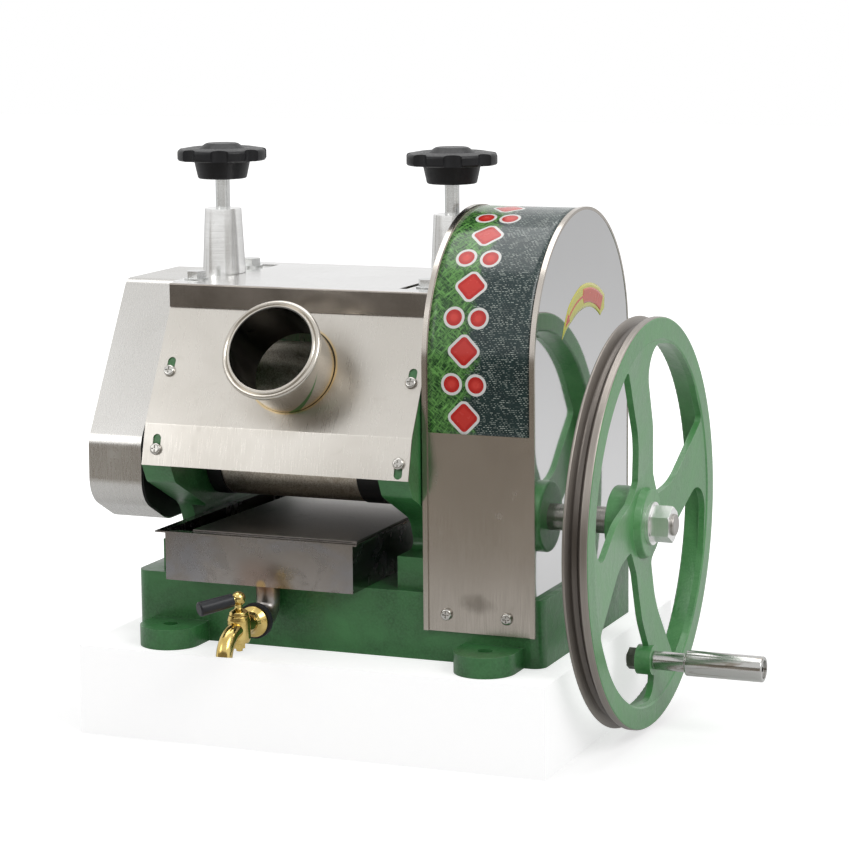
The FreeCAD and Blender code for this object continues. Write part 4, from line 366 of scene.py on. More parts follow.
def tubeTint(tree, place, colour):
    # along the tube's axis: dark joint, straw and brown heat marks, and a wiped streak of green paint
    away = vectorMaths(tree, "SUBTRACT", place, feedWeld["middle"])
    along, square = fromFeedAxis(tree, away)
    slope = feedWeld["slope"]
    up = vectorMaths(tree, "DOT_PRODUCT", away, (0.0, math.sin(slope), math.cos(slope)))
    across = splitUp(tree, away)[0]
    angle = maths(tree, "ARCTAN2", times(tree, up, -1.0), across)
    wander = times(tree, noise(tree, place, 60.0, 3.0), 0.005)
    straw = remap(tree, minus(tree, along, wander), 0.016, 0.001, soft=True)
    colour = blend(tree, times(tree, straw, 0.5), colour, (0.50, 0.40, 0.26))
    lean = plus(tree, angle, times(tree, along, tubeStreak["lean"]))
    narrow = minus(tree, tubeStreak["half"], times(tree, along, tubeStreak["narrow"]))
    streak = below(tree, apart(tree, lean, tubeStreak["middle"]), narrow)
    colour = blend(tree, times(tree, streak, 0.85), colour, tubeStreak["paint"])
    joint = remap(tree, along, 0.0026, 0.0016)
    green = remap(tree, angle, 1.2, 1.4)
    colour = blend(tree, joint, colour, blend(tree, green, (0.035, 0.033, 0.028), (0.012, 0.060, 0.018)))
    # painted shade: the bore is dark, more so towards its root
    bore = below(tree, square, feedWeld["bore"] ** 2)
    shade = blend(tree, remap(tree, along, 0.050, 0.020), (0.10, 0.096, 0.09), (0.045, 0.042, 0.038))
    return blend(tree, bore, colour, shade)


# Places of marks on the tray and the arch cover's foot, and of the painted dark reflection on the top cover's
# lip

marks = {"pipeX": -0.0595, "pipeWeldZ": 0.064, "trayFront": -0.15, "lipStart": -0.0968, "lipEnd": -0.0980,
         "smudgeX": 0.142, "smudgeZ": 0.056}


def pipeTint(tree, place, colour):
    # brown scorch round the weld under the tray, fading down the pipe
    z = splitUp(tree, place)[2]
    wander = times(tree, noise(tree, place, 70.0, 3.0, 0.6), 0.016)
    scorch = remap(tree, plus(tree, z, wander), 0.052, 0.070, soft=True)
    colour = blend(tree, times(tree, scorch, 0.8), colour, (0.20, 0.10, 0.045))
    stain = remap(tree, noise(tree, place, 110.0, 3.0, 0.6, 0.8), 0.5, 0.62)
    return blend(tree, times(tree, stain, 0.35), colour, (0.42, 0.30, 0.17))


def trayTint(tree, place, colour):
    # on the front a brown mark and a straw ring about the drain pipe's weld, and bluish patches all over
    x, y, z = splitUp(tree, place)
    wander = times(tree, noise(tree, place, 40.0, 3.0), 0.02)
    fromWeld = diagonal(tree, minus(tree, x, marks["pipeX"]), minus(tree, z, marks["pipeWeldZ"]))
    brown = remap(tree, plus(tree, fromWeld, wander), 0.044, 0.020, soft=True)
    front = below(tree, y, marks["trayFront"])
    colour = blend(tree, times(tree, times(tree, brown, front), 0.5), colour, (0.30, 0.20, 0.15))
    ring = remap(tree, fromWeld, 0.0062, 0.0030, soft=True)
    colour = blend(tree, times(tree, times(tree, ring, front), 0.7), colour, (0.60, 0.40, 0.16))
    blue = remap(tree, noise(tree, place, 13.0, 3.0, 0.6, 1.2), 0.52, 0.66)
    return blend(tree, times(tree, blue, 0.4), colour, (0.30, 0.32, 0.37))


def lipReflectionTint(tree, place, colour):
    # painted dark reflection: the lip at the front is coloured much darker than the lid
    front = remap(tree, splitUp(tree, place)[1], marks["lipStart"], marks["lipEnd"])
    cloud = remap(tree, noise(tree, place, 18.0, 3.0), 0.3, 0.7)
    return blend(tree, front, colour, blend(tree, cloud, (0.20, 0.18, 0.16), (0.31, 0.285, 0.26)))


def bandTint(tree, place, colour):
    # painted shade: darker towards the foot, with a wiped smudge between the two screws there
    x, _, z = splitUp(tree, place)
    foot = remap(tree, z, 0.20, 0.04, soft=True)
    colour = blend(tree, times(tree, foot, 0.35), colour, (0.30, 0.27, 0.225))
    flattened = times(tree, minus(tree, z, marks["smudgeZ"]), 1.6)
    away = diagonal(tree, minus(tree, x, marks["smudgeX"]), flattened)
    wander = times(tree, noise(tree, place, 70.0, 3.0, 0.6), 0.02)
    smudge = remap(tree, plus(tree, away, wander), 0.030, 0.014, soft=True)
    return blend(tree, times(tree, smudge, 0.6), colour, (0.17, 0.15, 0.125))


dress(makeSheet("front sheet", sheetSteel["front"], weldTint), "front_cover")
dress(makeSheet("top sheet", sheetSteel["top"], lipReflectionTint), "top_cover")
dress(makeSheet("back sheet", sheetSteel["front"]), "back_cover")
dress(makeSheet("left cover sheet", sheetSteel["side"]), "left_gear_cover")
dress(makeSheet("arch band sheet", sheetSteel["band"], bandTint), "arch_cover")
dress(makeSheet("feed tube steel", {**sheetSteel["front"], "colour": (0.54, 0.505, 0.45), "rough": 0.2},
                tubeTint), "feed_tube")
dress(makeSheet("tray sheet", sheetSteel["tray"], trayTint), "juice_tray")
dress(makeSheet("strainer sheet", {**sheetSteel["tray"], "rough": 0.3, "smear": 0.4}), "tray_strainer")
dress(makeSheet("drain pipe steel", {**sheetSteel["tray"], "rough": 0.3}, pipeTint), "drain_pipe")


def makeMirrorSheet():
    # polished nearly to a mirror, with slow waves in the sheet and a breath of haze
    material, tree, put = newMaterial("mirror sheet", Metallic=1.0)
    place = objectPlace(tree)
    haze = useGroup(tree, smears, Place=place, Size=9.0, Cover=0.3)["Mask"]
    clouds = noise(tree, place, 6.0, 2.0)
    feed(tree, put["Base Color"], blend(tree, clouds, (0.72, 0.72, 0.725), (0.65, 0.65, 0.655)))
    feed(tree, put["Roughness"], remap(tree, haze, 0.0, 1.0, 0.035, 0.075))
    feed(tree, put["Normal"], bump(tree, noise(tree, place, 7.0, 1.0), 0.0016, 0.25))
    return material


dress(makeMirrorSheet(), "arch_side_plate", "arch_inner_plate")
print("sheet covers finished")


# Turned, plated and machined steel

def makeTurned(name, colour, dull, rough, axis, fineness=1400.0, grease=0.2, streak=None):
    # tool marks run round the axis, so the noise is stretched across it; the optional streaks, a painted
    # reflection, run along it
    material, tree, put = newMaterial(name, Metallic=1.0)
    place = objectPlace(tree)
    stretch = [0.02, 0.02, 0.02]
    stretch["XYZ".index(axis)] = 1.0
    grain = useGroup(tree, brushedLines, Place=place, Stretch=stretch, Fineness=fineness, Cloud_Size=40.0)
    dirt = useGroup(tree, smears, Place=place, Size=48.0, Cover=grease)["Mask"]
    shade = times(tree, plus(tree, grain["Lines"], grain["Clouds"]), 0.4)
    colour = blend(tree, shade, colour, dull)
    colour = blend(tree, times(tree, dirt, 0.5), colour, dull)
    if streak:
        # painted reflection: dark streaks along the axis stand in for dark things mirrored in polished steel
        across = [1.0, 1.0, 1.0]
        across["XYZ".index(axis)] = 0.04
        reflectionBands = noise(tree, vectorMaths(tree, "MULTIPLY", place, across), streak["size"], 2.0)
        colour = blend(tree, times(tree, remap(tree, reflectionBands, 0.50, 0.62, soft=True), streak["amount"]),
                       colour, streak["dark"])
    feed(tree, put["Base Color"], colour)
    feed(tree, put["Roughness"], plus(tree, rough, times(tree, plus(tree, grain["Lines"], dirt), 0.06)))
    feed(tree, put["Normal"], bump(tree, grain["Lines"], 0.00003, 0.5))
    return material


dress(makeTurned("machined shaft", (0.46, 0.44, 0.42), (0.25, 0.23, 0.21), 0.26, "X"),
      "crank_shaft", "main_gear_key", "pinion_key", "flywheel_key")
dress(makeTurned("oiled gear steel", (0.40, 0.38, 0.36), (0.14, 0.12, 0.10), 0.32, "X", grease=0.7),
      "top_roller_gear", "front_roller_gear", "back_roller_gear", "main_gear", "pinion")
dress(makeTurned("ground block steel", (0.42, 0.40, 0.38), (0.22, 0.20, 0.18), 0.34, "Z", grease=0.5),
      "left_bearing_block", "right_bearing_block", "left_thrust_pad", "right_thrust_pad", "turner_plate")
# painted reflection: dark streaks down the polished bosses
dress(makeTurned("polished boss steel", (0.90, 0.90, 0.89), (0.66, 0.655, 0.64), 0.16, "Z",
                 streak={"size": 75.0, "amount": 0.40, "dark": (0.26, 0.25, 0.23)}),
      "left_bearing_cap", "right_bearing_cap")
dress(makeTurned("bright zinc, upright", (0.74, 0.745, 0.735), (0.55, 0.56, 0.55), 0.22, "Z"),
      "left_adjusting_screw", "right_adjusting_screw", "cap_bolts", "cap_washers", "foot_bolts")
dress(makeTurned("bright zinc, lying", (0.90, 0.90, 0.89), (0.70, 0.70, 0.69), 0.30, "X"),
      "flywheel_washer", "flywheel_nut")
# painted shade: the zinc nut behind the handle's spoke is coloured dark for the shade it sits in
dress(makeTurned("old zinc", (0.14, 0.15, 0.12), (0.05, 0.06, 0.045), 0.36, "X", grease=0.6), "handle_nut")
dress(makeTurned("screw steel", (0.60, 0.59, 0.565), (0.32, 0.305, 0.28), 0.18, "Y"), "cover_screws")
dress(makeTurned("bearing bronze", (0.56, 0.36, 0.16), (0.34, 0.20, 0.08), 0.28, "X"),
      "roller_bushes", "crank_bushes")

chromePlate = {"colour": (0.50, 0.495, 0.48), "brown": (0.22, 0.18, 0.14), "rough": 0.12}


def makeChrome():
    # bright plate with fine rings from polishing and a few dull brown wipes
    material, tree, put = newMaterial("chrome plate", Metallic=1.0)
    place = objectPlace(tree)
    grain = useGroup(tree, brushedLines, Place=place, Stretch=(1.0, 0.03, 0.03), Fineness=700.0)
    dirt = useGroup(tree, smears, Place=vectorMaths(tree, "MULTIPLY", place, (0.12, 1.0, 1.0)), Size=110.0,
                    Cover=0.6)["Mask"]
    feed(tree, put["Base Color"], blend(tree, times(tree, dirt, 0.75), chromePlate["colour"],
                                        chromePlate["brown"]))
    uneven = times(tree, plus(tree, dirt, grain["Lines"]), 0.04)
    feed(tree, put["Roughness"], plus(tree, chromePlate["rough"], uneven))
    feed(tree, put["Normal"], bump(tree, grain["Lines"], 0.00002, 0.4))
    return material


def makeRollerSteel():
    # hard grey steel, browned by juice in patches
    material, tree, put = newMaterial("knurled roller steel", Metallic=1.0)
    place = objectPlace(tree)
    dirt = useGroup(tree, smears, Place=place, Size=60.0, Cover=0.6)["Mask"]
    speck = noise(tree, place, 700.0, 2.0, 0.6)
    colour = blend(tree, remap(tree, speck, 0.35, 0.65), (0.55, 0.49, 0.40), (0.86, 0.81, 0.72))
    feed(tree, put["Base Color"], blend(tree, times(tree, dirt, 0.4), colour, (0.34, 0.27, 0.17)))
    feed(tree, put["Roughness"], remap(tree, speck, 0.3, 0.7, 0.28, 0.46))
    feed(tree, put["Normal"], bump(tree, speck, 0.0001, 0.5))
    return material


rollerSteel = makeRollerSteel()
dress(makeChrome(), "handle_pin", "handle_grip", "handle_end_screw")
dress(rollerSteel, "front_roller", "back_roller", "top_roller")


def makeBrass():
    # bright brass, mottled slightly darker and redder as from casting, with brown patches
    material, tree, put = newMaterial("tap brass", Metallic=1.0)
    place = objectPlace(tree)
    skin = useGroup(tree, castSkin, Place=place, Grain=260.0, Mottle_Size=90.0)
    dirt = useGroup(tree, smears, Place=place, Size=120.0, Cover=0.35)["Mask"]
    colour = blend(tree, skin["Mottle"], (0.74, 0.57, 0.22), (0.56, 0.40, 0.12))
    feed(tree, put["Base Color"], blend(tree, times(tree, dirt, 0.5), colour, (0.34, 0.18, 0.05)))
    feed(tree, put["Roughness"], remap(tree, skin["Mottle"], 0.0, 1.0, 0.10, 0.20))
    feed(tree, put["Normal"], bump(tree, skin["Height"], 0.00025, 0.6))
    return material


dress(makeBrass(), "tap_body", "tap_plug", "tap_nut")


def makeMoulded(name, colour, pale, rough, grain, height, coat):
    # moulded plastic or rubber: fine grain, faint dust and slightly uneven gloss
    material, tree, put = newMaterial(name, Coat_Weight=coat, Coat_Roughness=0.08, Specular_IOR_Level=0.28)
    place = objectPlace(tree)
    skin = useGroup(tree, castSkin, Place=place, Grain=grain, Mottle_Size=60.0)
    feed(tree, put["Base Color"], blend(tree, times(tree, skin["Mottle"], 0.5), colour, pale))
    feed(tree, put["Roughness"], remap(tree, skin["Specks"], 0.0, 1.0, rough, rough + 0.12))
    feed(tree, put["Normal"], bump(tree, skin["Height"], height))
    return material


dress(makeMoulded("knob plastic", (0.004, 0.004, 0.005), (0.010, 0.010, 0.012), 0.36, 500.0, 0.00012, 0.06),
      "left_knob", "right_knob")
dress(makeMoulded("lever sleeve", (0.012, 0.013, 0.016), (0.035, 0.037, 0.045), 0.38, 700.0, 0.0001, 0.1),
      "tap_lever_sleeve")
dress(makeMoulded("washer rubber", (0.014, 0.015, 0.019), (0.030, 0.032, 0.040), 0.55, 900.0, 0.0001, 0.0),
      "tap_washer")
dress(makeMoulded("collar plastic", (0.010, 0.010, 0.011), (0.024, 0.024, 0.024), 0.42, 700.0, 0.0001, 0.1),
      "front_roller_collars", "back_roller_collars")
# near black, so that the gap between the left cover and the frame shows dark
dress(makeMoulded("back plate paint", (0.010, 0.010, 0.010), (0.022, 0.021, 0.020), 0.45, 600.0, 0.0001, 0.1),
      "left_cover_back_plate")
print("metals and mouldings finished")


# New pieces: surfaces worked out on a grid

def gridPiece(name, points, material, closedRows=False, closedColumns=False, uv=None):
    # points is a rows x columns x 3 array of places; neighbours are joined by four-sided faces
    rows, columns = points.shape[:2]
    index = np.arange(rows * columns).reshape(rows, columns)
    if closedRows:
        index = np.vstack([index, index[:1]])
    if closedColumns:
        index = np.hstack([index, index[:, :1]])
    faces = np.stack([index[:-1, :-1], index[1:, :-1], index[1:, 1:], index[:-1, 1:]], axis=-1).reshape(-1, 4)
    mesh = bpy.data.meshes.new(name)
    mesh.vertices.add(rows * columns)
    mesh.vertices.foreach_set("co", points.reshape(-1).astype(np.float32))
    mesh.loops.add(faces.size)
    mesh.loops.foreach_set("vertex_index", faces.reshape(-1).astype(np.int32))
    mesh.polygons.add(len(faces))
    mesh.polygons.foreach_set("loop_start", (np.arange(len(faces)) * 4).astype(np.int32))
    mesh.update(calc_edges=True)
    mesh.validate()
    mesh.polygons.foreach_set("use_smooth", np.ones(len(mesh.polygons), bool))
    if uv is not None:
        layer = mesh.uv_layers.new(name="print")
        layer.data.foreach_set("uv", uv.reshape(-1, 2)[faces.reshape(-1)].reshape(-1).astype(np.float32))
    mesh.materials.append(material)
    piece = bpy.data.objects.new(name, mesh)
    scene.collection.objects.link(piece)
    return piece


# Knurling on the rollers: the radius rises in small diamonds where two slanting waves meet

knurl = {"start": -0.1298, "end": 0.0088, "radius": 0.0378, "height": 0.00042, "around": 104, "along": 60,
         "steps": 4, "clear": 0.00003, "inner": 0.0372, "fall": 0.0016}
rollers = {"top_roller": (0.0, 0.2295, "upper_roller"),
           "front_roller": (-0.056, 0.166891, "lower_front_roller"),
           "back_roller": (0.056, 0.166891, "lower_back_roller")}


def makeKnurl(name, y, z, body):
    around = np.linspace(0.0, 2 * np.pi, knurl["around"] * knurl["steps"], endpoint=False)
    x = np.linspace(knurl["start"], knurl["end"], knurl["along"] * knurl["steps"] + 1)
    turns = knurl["around"] * around[None, :]
    steps = 2 * np.pi * knurl["along"] * ((x - x[0]) / (x[-1] - x[0]))[:, None]
    diamonds = 0.5 * (np.abs(np.sin((turns + steps) / 2)) + np.abs(np.sin((turns - steps) / 2)))
    ends = np.clip(np.minimum(x - x[0], x[-1] - x) / knurl["fall"], 0, 1)[:, None]
    radius = knurl["radius"] + knurl["clear"] + knurl["height"] * diamonds * ends
    inner = np.full((1, len(around)), knurl["inner"])
    radius = np.vstack([inner, radius, inner])
    x = np.concatenate([x[:1], x, x[-1:]])
    points = np.stack([np.broadcast_to(x[:, None], radius.shape), y + radius * np.cos(around),
                       z + radius * np.sin(around)], axis=-1)
    piece = gridPiece(name + "_knurling", points, rollerSteel, closedRows=True, closedColumns=True)
    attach(piece, body)


for name, (y, z, body) in rollers.items():
    makeKnurl(name, y, z, body)
print("rollers knurled")


# Printed film over the arch band, from above the plain front strip to the back

film = {"left": 0.0964, "right": 0.1926, "radius": 0.13168, "centre": 0.2708, "frontEnd": 0.2105,
        "backEnd": 0.2105, "thickness": 0.00025, "along": 181, "across": 17}
# lengths in the print are in widths of the film
filmPrint = {"leafDark": (0.010, 0.055, 0.012), "leafLight": (0.20, 0.50, 0.12),
             "night": (0.010, 0.022, 0.024), "nightLight": (0.020, 0.050, 0.048), "dash": (0.58, 0.64, 0.58),
             "red": (0.56, 0.020, 0.016), "redLight": (0.74, 0.060, 0.045), "white": (0.80, 0.79, 0.77),
             "rows": 58.0, "columns": 30.0, "rowShift": 0.37, "dashHalf": 0.17,
             "pitch": 0.31, "middle": 0.36, "lozengeHalf": 0.105, "lozengeCorner": 0.04, "dotsApart": 0.12,
             "dotRadius": 0.078, "outline": 0.026}


def filmPath(samples):
    # up the front, over the half circle and down the back; returns y, z and the length along it
    front = film["centre"] - film["frontEnd"]
    back = film["centre"] - film["backEnd"]
    arc = math.pi * film["radius"]
    s = np.linspace(0.0, front + arc + back, samples)
    angle = np.clip((s - front) / film["radius"], 0, math.pi)
    y = -film["radius"] * np.cos(angle)
    z = film["centre"] + film["radius"] * np.sin(angle)
    z = z - np.clip(front - s, 0, None) - np.clip(s - front - arc, 0, None)
    return y, z, s


def lozenge(tree, u, v):
    # signed distance to a round-cornered square that stands on its corner
    half, corner = filmPrint["lozengeHalf"], filmPrint["lozengeCorner"]
    share = math.sqrt(0.5)
    rising = maths(tree, "ABSOLUTE", plus(tree, times(tree, u, share), times(tree, v, share)))
    falling = maths(tree, "ABSOLUTE", minus(tree, times(tree, v, share), times(tree, u, share)))
    past = [maths(tree, "MAXIMUM", minus(tree, side, half - corner), 0.0) for side in (rising, falling)]
    return minus(tree, diagonal(tree, *past), corner)


def leafPrint(tree, u, v):
    # thin blades from two slanted, stretched noises
    fields = []
    for turn, scale in ((0.9, 9.0), (-0.7, 11.0)):
        c, s = math.cos(turn), math.sin(turn)
        along = plus(tree, times(tree, u, c), times(tree, v, s))
        across = minus(tree, times(tree, v, c), times(tree, u, s))
        place = joinUp(tree, along, times(tree, across, 5.0), turn)
        fields.append(noise(tree, place, scale, 3.0, 0.6, 0.9))
    blades = remap(tree, maths(tree, "MAXIMUM", *fields), 0.46, 0.70)
    return blend(tree, blades, filmPrint["leafDark"], filmPrint["leafLight"])


def nightPrint(tree, uv, u, v):
    # a dark field with dashes of random length in rows
    rowPlace = times(tree, v, filmPrint["rows"])
    row = maths(tree, "FLOOR", rowPlace)
    rowPart = maths(tree, "FRACT", rowPlace)
    shifted = plus(tree, times(tree, u, filmPrint["columns"]), times(tree, row, filmPrint["rowShift"]))
    cell = joinUp(tree, maths(tree, "FLOOR", shifted), row, 0.0)
    chance = addNode(tree, "ShaderNodeTexWhiteNoise", {"Vector": cell}, noise_dimensions="2D")
    length = remap(tree, chance.outputs["Value"], 0.20, 1.0, 0.0, 0.9)
    inRow = below(tree, apart(tree, rowPart, 0.5), filmPrint["dashHalf"])
    inCell = below(tree, maths(tree, "FRACT", shifted), length)
    fading = remap(tree, noise(tree, uv, 9.0, 2.0), 0.35, 0.6, 0.15, 0.8)
    night = blend(tree, noise(tree, uv, 6.0, 3.0), filmPrint["night"], filmPrint["nightLight"])
    return blend(tree, times(tree, times(tree, inRow, inCell), fading), night, filmPrint["dash"])


def motifPrint(tree, u, v, colour):
    # one motif to a pitch up the film: a lozenge, then two dots side by side
    pitchPlace = maths(tree, "DIVIDE", v, filmPrint["pitch"])
    height = times(tree, minus(tree, maths(tree, "FRACT", pitchPlace), 0.5), filmPrint["pitch"])
    odd = maths(tree, "MODULO", maths(tree, "FLOOR", pitchPlace), 2.0)
    fromMiddle = minus(tree, u, filmPrint["middle"])
    aside = minus(tree, maths(tree, "ABSOLUTE", fromMiddle), filmPrint["dotsApart"])
    dots = minus(tree, diagonal(tree, aside, height), filmPrint["dotRadius"])
    motif = mixNumbers(tree, odd, lozenge(tree, fromMiddle, height), dots)
    colour = blend(tree, below(tree, motif, filmPrint["outline"]), colour, filmPrint["white"])
    red = blend(tree, remap(tree, motif, -0.055, -0.02), filmPrint["redLight"], filmPrint["red"])
    return blend(tree, below(tree, motif, 0.0), colour, red)


def makeFilmPrint():
    # a made-up print: leaves at the left, a dark field at the right, red motifs between them
    material, tree, put = newMaterial("printed film", Coat_Weight=0.3, Coat_Roughness=0.08,
                                      Specular_IOR_Level=0.3)
    uv = addNode(tree, "ShaderNodeUVMap", uv_map="print").outputs[0]
    u, v, _ = splitUp(tree, uv)
    border = plus(tree, u, times(tree, minus(tree, noise(tree, uv, 5.0, 4.0, 0.65), 0.5), 0.5))
    colour = blend(tree, remap(tree, border, 0.36, 0.48, soft=True), leafPrint(tree, u, v),
                   nightPrint(tree, uv, u, v))
    feed(tree, put["Base Color"], motifPrint(tree, u, v, colour))
    feed(tree, put["Roughness"], remap(tree, noise(tree, uv, 14.0, 2.0), 0.3, 0.7, 0.18, 0.30))
    feed(tree, put["Normal"], bump(tree, noise(tree, uv, 3.0, 2.0), 0.0006, 0.3))
    return material


def makeFilm():
    # a sheet carried along the path, closed round its thickness
    y, z, s = filmPath(film["along"])
    count = film["across"]
    across = np.linspace(film["left"], film["right"], count)
    width = film["right"] - film["left"]
    dy, dz = np.gradient(y), np.gradient(z)
    size = np.hypot(dy, dz)
    outY, outZ = -dz / size, dy / size
    lower = np.stack([np.broadcast_to(across, (len(s), count)), np.repeat(y[:, None], count, 1),
                      np.repeat(z[:, None], count, 1)], axis=-1)
    lift = np.stack([np.zeros_like(outY), outY, outZ], axis=-1)[:, None, :] * film["thickness"]
    section = np.concatenate([lower + lift, lower[:, ::-1]], axis=1)
    u = (across - film["left"]) / width
    u = np.concatenate([u, u[::-1]])
    uv = np.stack(np.broadcast_arrays(u[None, :], (s / width)[:, None]), axis=-1)
    first, last = section[:1].mean(axis=1, keepdims=True), section[-1:].mean(axis=1, keepdims=True)
    section = np.concatenate([np.repeat(first, 2 * count, 1), section, np.repeat(last, 2 * count, 1)], axis=0)
    uv = np.concatenate([uv[:1], uv, uv[-1:]], axis=0)
    piece = gridPiece("arch_printed_film", section, makeFilmPrint(), closedColumns=True, uv=uv)
    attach(piece, "root")


makeFilm()


# Arrow on the side plate that shows which way the wheel turns

arrow = {"y": 0.0083, "z": 0.2389, "radius": 0.083, "plate": 0.19765, "clear": 0.00003, "rise": 0.00014}
# place along the arc in degrees against half width in metres
arrowShapes = {
    "arrow_border": {"at": (51.5, 56.0, 98.0, 122.0, 143.0), "half": (0.0, 0.0112, 0.0112, 0.0085, 0.0),
                     "colour": (0.72, 0.68, 0.08), "dull": (0.60, 0.56, 0.12), "rise": 1.0},
    "arrow_middle": {"at": (58.0, 58.1, 95.0, 96.5, 125.0, 125.1, 133.5),
                     "half": (0.0, 0.0075, 0.0066, 0.0011, 0.0009, 0.0046, 0.0),
                     "colour": (0.74, 0.09, 0.04), "dull": (0.62, 0.11, 0.06), "rise": 2.0},
}


def makeArrow(name, shape):
    # half width against place along an arc: a wide block, a thin line and a pointed head
    degrees = np.unique(np.concatenate([np.linspace(shape["at"][0], shape["at"][-1], 81), shape["at"]]))
    half = np.interp(degrees, shape["at"], shape["half"])
    angle = np.radians(degrees)
    side = np.linspace(-1.0, 1.0, 9)
    radius = arrow["radius"] + half[:, None] * side[None, :]
    y = arrow["y"] + radius * np.cos(angle)[:, None]
    z = arrow["z"] + radius * np.sin(angle)[:, None]
    rise = arrow["rise"] * shape["rise"]
    top = np.stack([np.full_like(y, arrow["plate"] + rise), y, z], axis=-1)
    bottom = np.stack([np.full_like(y, arrow["plate"] + arrow["clear"]), y, z], axis=-1)[:, ::-1]
    material, tree, put = newMaterial(name + " print", Coat_Weight=0.4, Coat_Roughness=0.1)
    place = objectPlace(tree)
    wear = useGroup(tree, smears, Place=place, Size=60.0, Cover=0.4)["Mask"]
    rubbed = blend(tree, times(tree, wear, 0.5), shape["colour"], shape["dull"])
    feed(tree, put["Base Color"], rubbed)
    feed(tree, put["Roughness"], remap(tree, wear, 0.0, 1.0, 0.25, 0.4))
    piece = gridPiece(name, np.concatenate([top, bottom], axis=1), material, closedColumns=True)
    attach(piece, "root")


for name, shape in arrowShapes.items():
    makeArrow(name, shape)
print("print and arrow laid on")


# Stage: a white bench under the base, a white floor and a dark card in front that only metal sees

stage = {"floor": -0.0845, "floorReach": 9.0, "benchTop": -0.0001, "paint": (0.58, 0.58, 0.58),
         "nearWhite": 0.40, "farWhite": 1.2, "glow": 0.66, "mirrored": 0.4, "worldLight": 0.32,
         "bench": (-0.235, 0.226, -0.185, 0.185), "card": (-1.8, 1.2, -0.80, 0.30),
         "cardTop": (0.19, 0.165, 0.135), "cardFoot": (0.36, 0.325, 0.28)}


def whiteStage(name):
    # plain white paint; seen directly or in a reflection it is lifted to white, and it keeps its shadows
    material, tree, put = newMaterial(name, Roughness=0.9, Specular_IOR_Level=0.1,
                                      Emission_Color=(1.0, 1.0, 1.0, 1.0))
    place = objectPlace(tree)
    low = tuple(part * 0.985 for part in stage["paint"])
    feed(tree, put["Base Color"], blend(tree, noise(tree, place, 3.0), low, stage["paint"]))
    rays = addNode(tree, "ShaderNodeLightPath").outputs
    direct = plus(tree, rays["Is Camera Ray"], rays["Is Transmission Ray"], clamp=True)
    seen = maths(tree, "MAXIMUM", direct, times(tree, rays["Is Glossy Ray"], stage["mirrored"]))
    far = remap(tree, vectorMaths(tree, "LENGTH", place), stage["nearWhite"], stage["farWhite"], soft=True)
    feed(tree, put["Emission Strength"], times(tree, seen, remap(tree, far, 0.0, 1.0, stage["glow"], 1.0)))
    return material


def flatBox(name, low, high, material):
    x, y, z = [np.array(pair) for pair in zip(low, high)]
    ring = np.array([(x[0], y[0]), (x[1], y[0]), (x[1], y[1]), (x[0], y[1])])
    rows = []
    for height, size in ((z[0], 0.0), (z[0], 1.0), (z[1], 1.0), (z[1], 0.0)):
        middle = ring.mean(axis=0)
        flat = middle + (ring - middle) * size
        rows.append(np.column_stack([flat, np.full(4, height)]))
    piece = gridPiece(name, np.array(rows), material, closedColumns=True)
    piece.data.polygons.foreach_set("use_smooth", np.zeros(len(piece.data.polygons), bool))


def makeFloor():
    reach = stage["floorReach"]
    ring = np.array([(-reach, -reach), (reach, -reach), (reach, reach), (-reach, reach)])
    rows = [np.column_stack([ring * size, np.full(4, stage["floor"])]) for size in (1.0, 0.0)]
    floor = gridPiece("floor", np.array(rows), whiteStage("floor white"), closedColumns=True)


def makeBench():
    x0, x1, y0, y1 = stage["bench"]
    flatBox("bench", (x0, y0, stage["floor"]), (x1, y1, stage["benchTop"]), whiteStage("bench white"))


def makeCard():
    # an upright sheet that glows darker towards its top, and shows only in reflections
    x0, x1, y, top = stage["card"]
    across = np.linspace(x0, x1, 5)
    up = np.linspace(stage["floor"] + 0.001, top, 9)
    points = np.stack(np.broadcast_arrays(across[None, :], np.array(y), up[:, None]), axis=-1)
    material, tree, put = newMaterial("front card", Base_Color=(0.0, 0.0, 0.0, 1.0), Roughness=1.0,
                                      Emission_Strength=1.0)
    height = splitUp(tree, objectPlace(tree))[2]
    shade = blend(tree, remap(tree, height, stage["floor"], top), stage["cardFoot"], stage["cardTop"])
    feed(tree, put["Emission Color"], shade)
    card = gridPiece("frontCard", points, material)
    card.visible_camera = False
    card.visible_diffuse = False
    card.visible_shadow = False


# Lamps: place, point aimed at, size in metres and power in watts

lamps = {
    "key from the right": {"place": (2.3, -1.2, 2.2), "aim": (0.1, 0.0, 0.15),
                           "size": (1.5, 1.5), "power": 38.0},
    "overhead": {"place": (-0.3, 0.4, 2.4), "aim": (0.0, 0.0, 0.1), "size": (2.2, 1.6), "power": 23.0},
    "front left fill": {"place": (-1.9, -2.3, 1.5), "aim": (0.0, 0.0, 0.15),
                        "size": (1.4, 1.4), "power": 12.0},
}


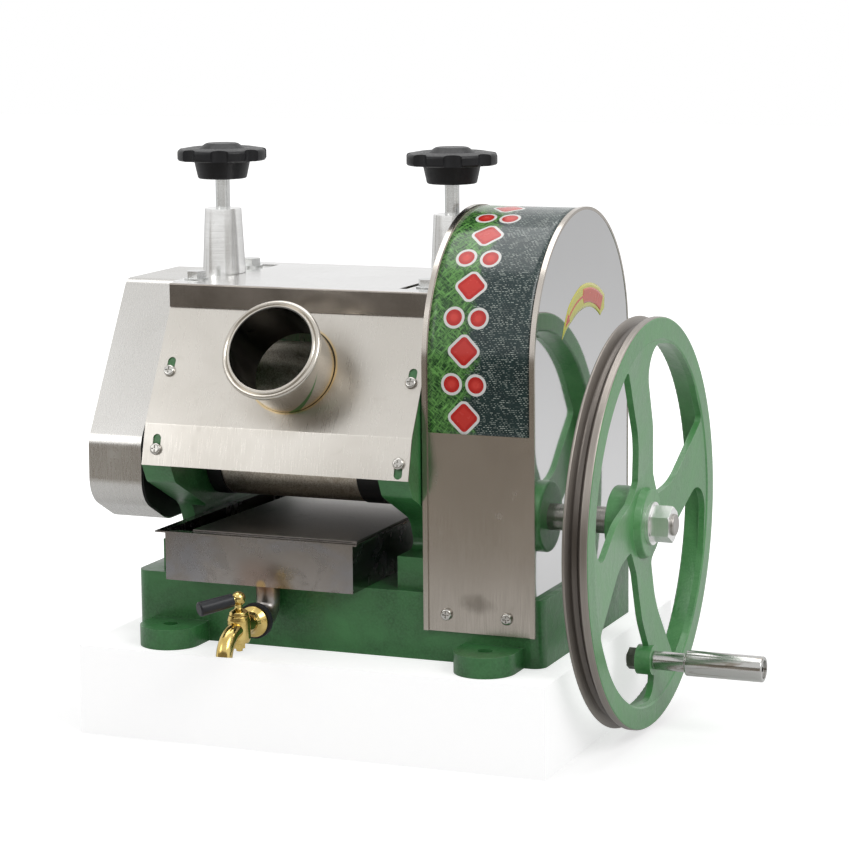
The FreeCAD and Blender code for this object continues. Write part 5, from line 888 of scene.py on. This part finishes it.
def makeLamp(name, place, aim, size, power):
    data = bpy.data.lights.new(name, "AREA")
    data.shape = "RECTANGLE"
    data.size, data.size_y = size
    data.energy = power
    lamp = bpy.data.objects.new(name, data)
    lamp.location = place
    lamp.rotation_euler = (Vector(aim) - Vector(place)).to_track_quat("-Z", "Y").to_euler()
    scene.collection.objects.link(lamp)


def makeWorld(strength):
    # white where it is seen or mirrored, softer as light on the object
    world = bpy.data.worlds.new("studio")
    world.use_nodes = True
    tree = world.node_tree
    tree.nodes.clear()
    rays = addNode(tree, "ShaderNodeLightPath").outputs
    seen = plus(tree, plus(tree, rays["Is Camera Ray"], rays["Is Glossy Ray"]),
                 rays["Is Transmission Ray"], clamp=True)
    glow = mixNumbers(tree, seen, strength, 1.0)
    light = addNode(tree, "ShaderNodeBackground", {"Color": (1.0, 1.0, 1.0, 1.0), "Strength": glow})
    output = addNode(tree, "ShaderNodeOutputWorld")
    tree.links.new(light.outputs[0], output.inputs[0])
    scene.world = world


makeFloor()
makeBench()
makeCard()
makeWorld(stage["worldLight"])
for name, lamp in lamps.items():
    makeLamp(name, **lamp)


# Camera: placed and turned as the photograph's was, level line rolled by half a degree

camera = {"place": (1.06073, -2.50177, 0.63658), "azimuth": 22.2096, "elevation": 9.2984, "roll": -0.5294,
          "lens": 122.845, "sensor": 36.0, "near": 0.05, "far": 60.0}


def makeCamera():
    azimuth, elevation, roll = (math.radians(camera[key]) for key in ("azimuth", "elevation", "roll"))
    back = Vector((math.sin(azimuth) * math.cos(elevation), -math.cos(azimuth) * math.cos(elevation),
                   math.sin(elevation)))
    right = Vector((0, 0, 1)).cross(back).normalized()
    up = back.cross(right)
    turnedRight = right * math.cos(roll) + up * math.sin(roll)
    turnedUp = up * math.cos(roll) - right * math.sin(roll)
    data = bpy.data.cameras.new("photo camera")
    data.sensor_fit = "HORIZONTAL"
    data.sensor_width = camera["sensor"]
    data.lens = camera["lens"]
    data.clip_start, data.clip_end = camera["near"], camera["far"]
    view = bpy.data.objects.new("photo camera", data)
    matrix = Matrix((turnedRight, turnedUp, back)).transposed().to_4x4()
    matrix.translation = Vector(camera["place"])
    view.matrix_world = matrix
    scene.collection.objects.link(view)
    scene.camera = view


makeCamera()
scene.view_settings.view_transform = "Standard"

print("scene made")
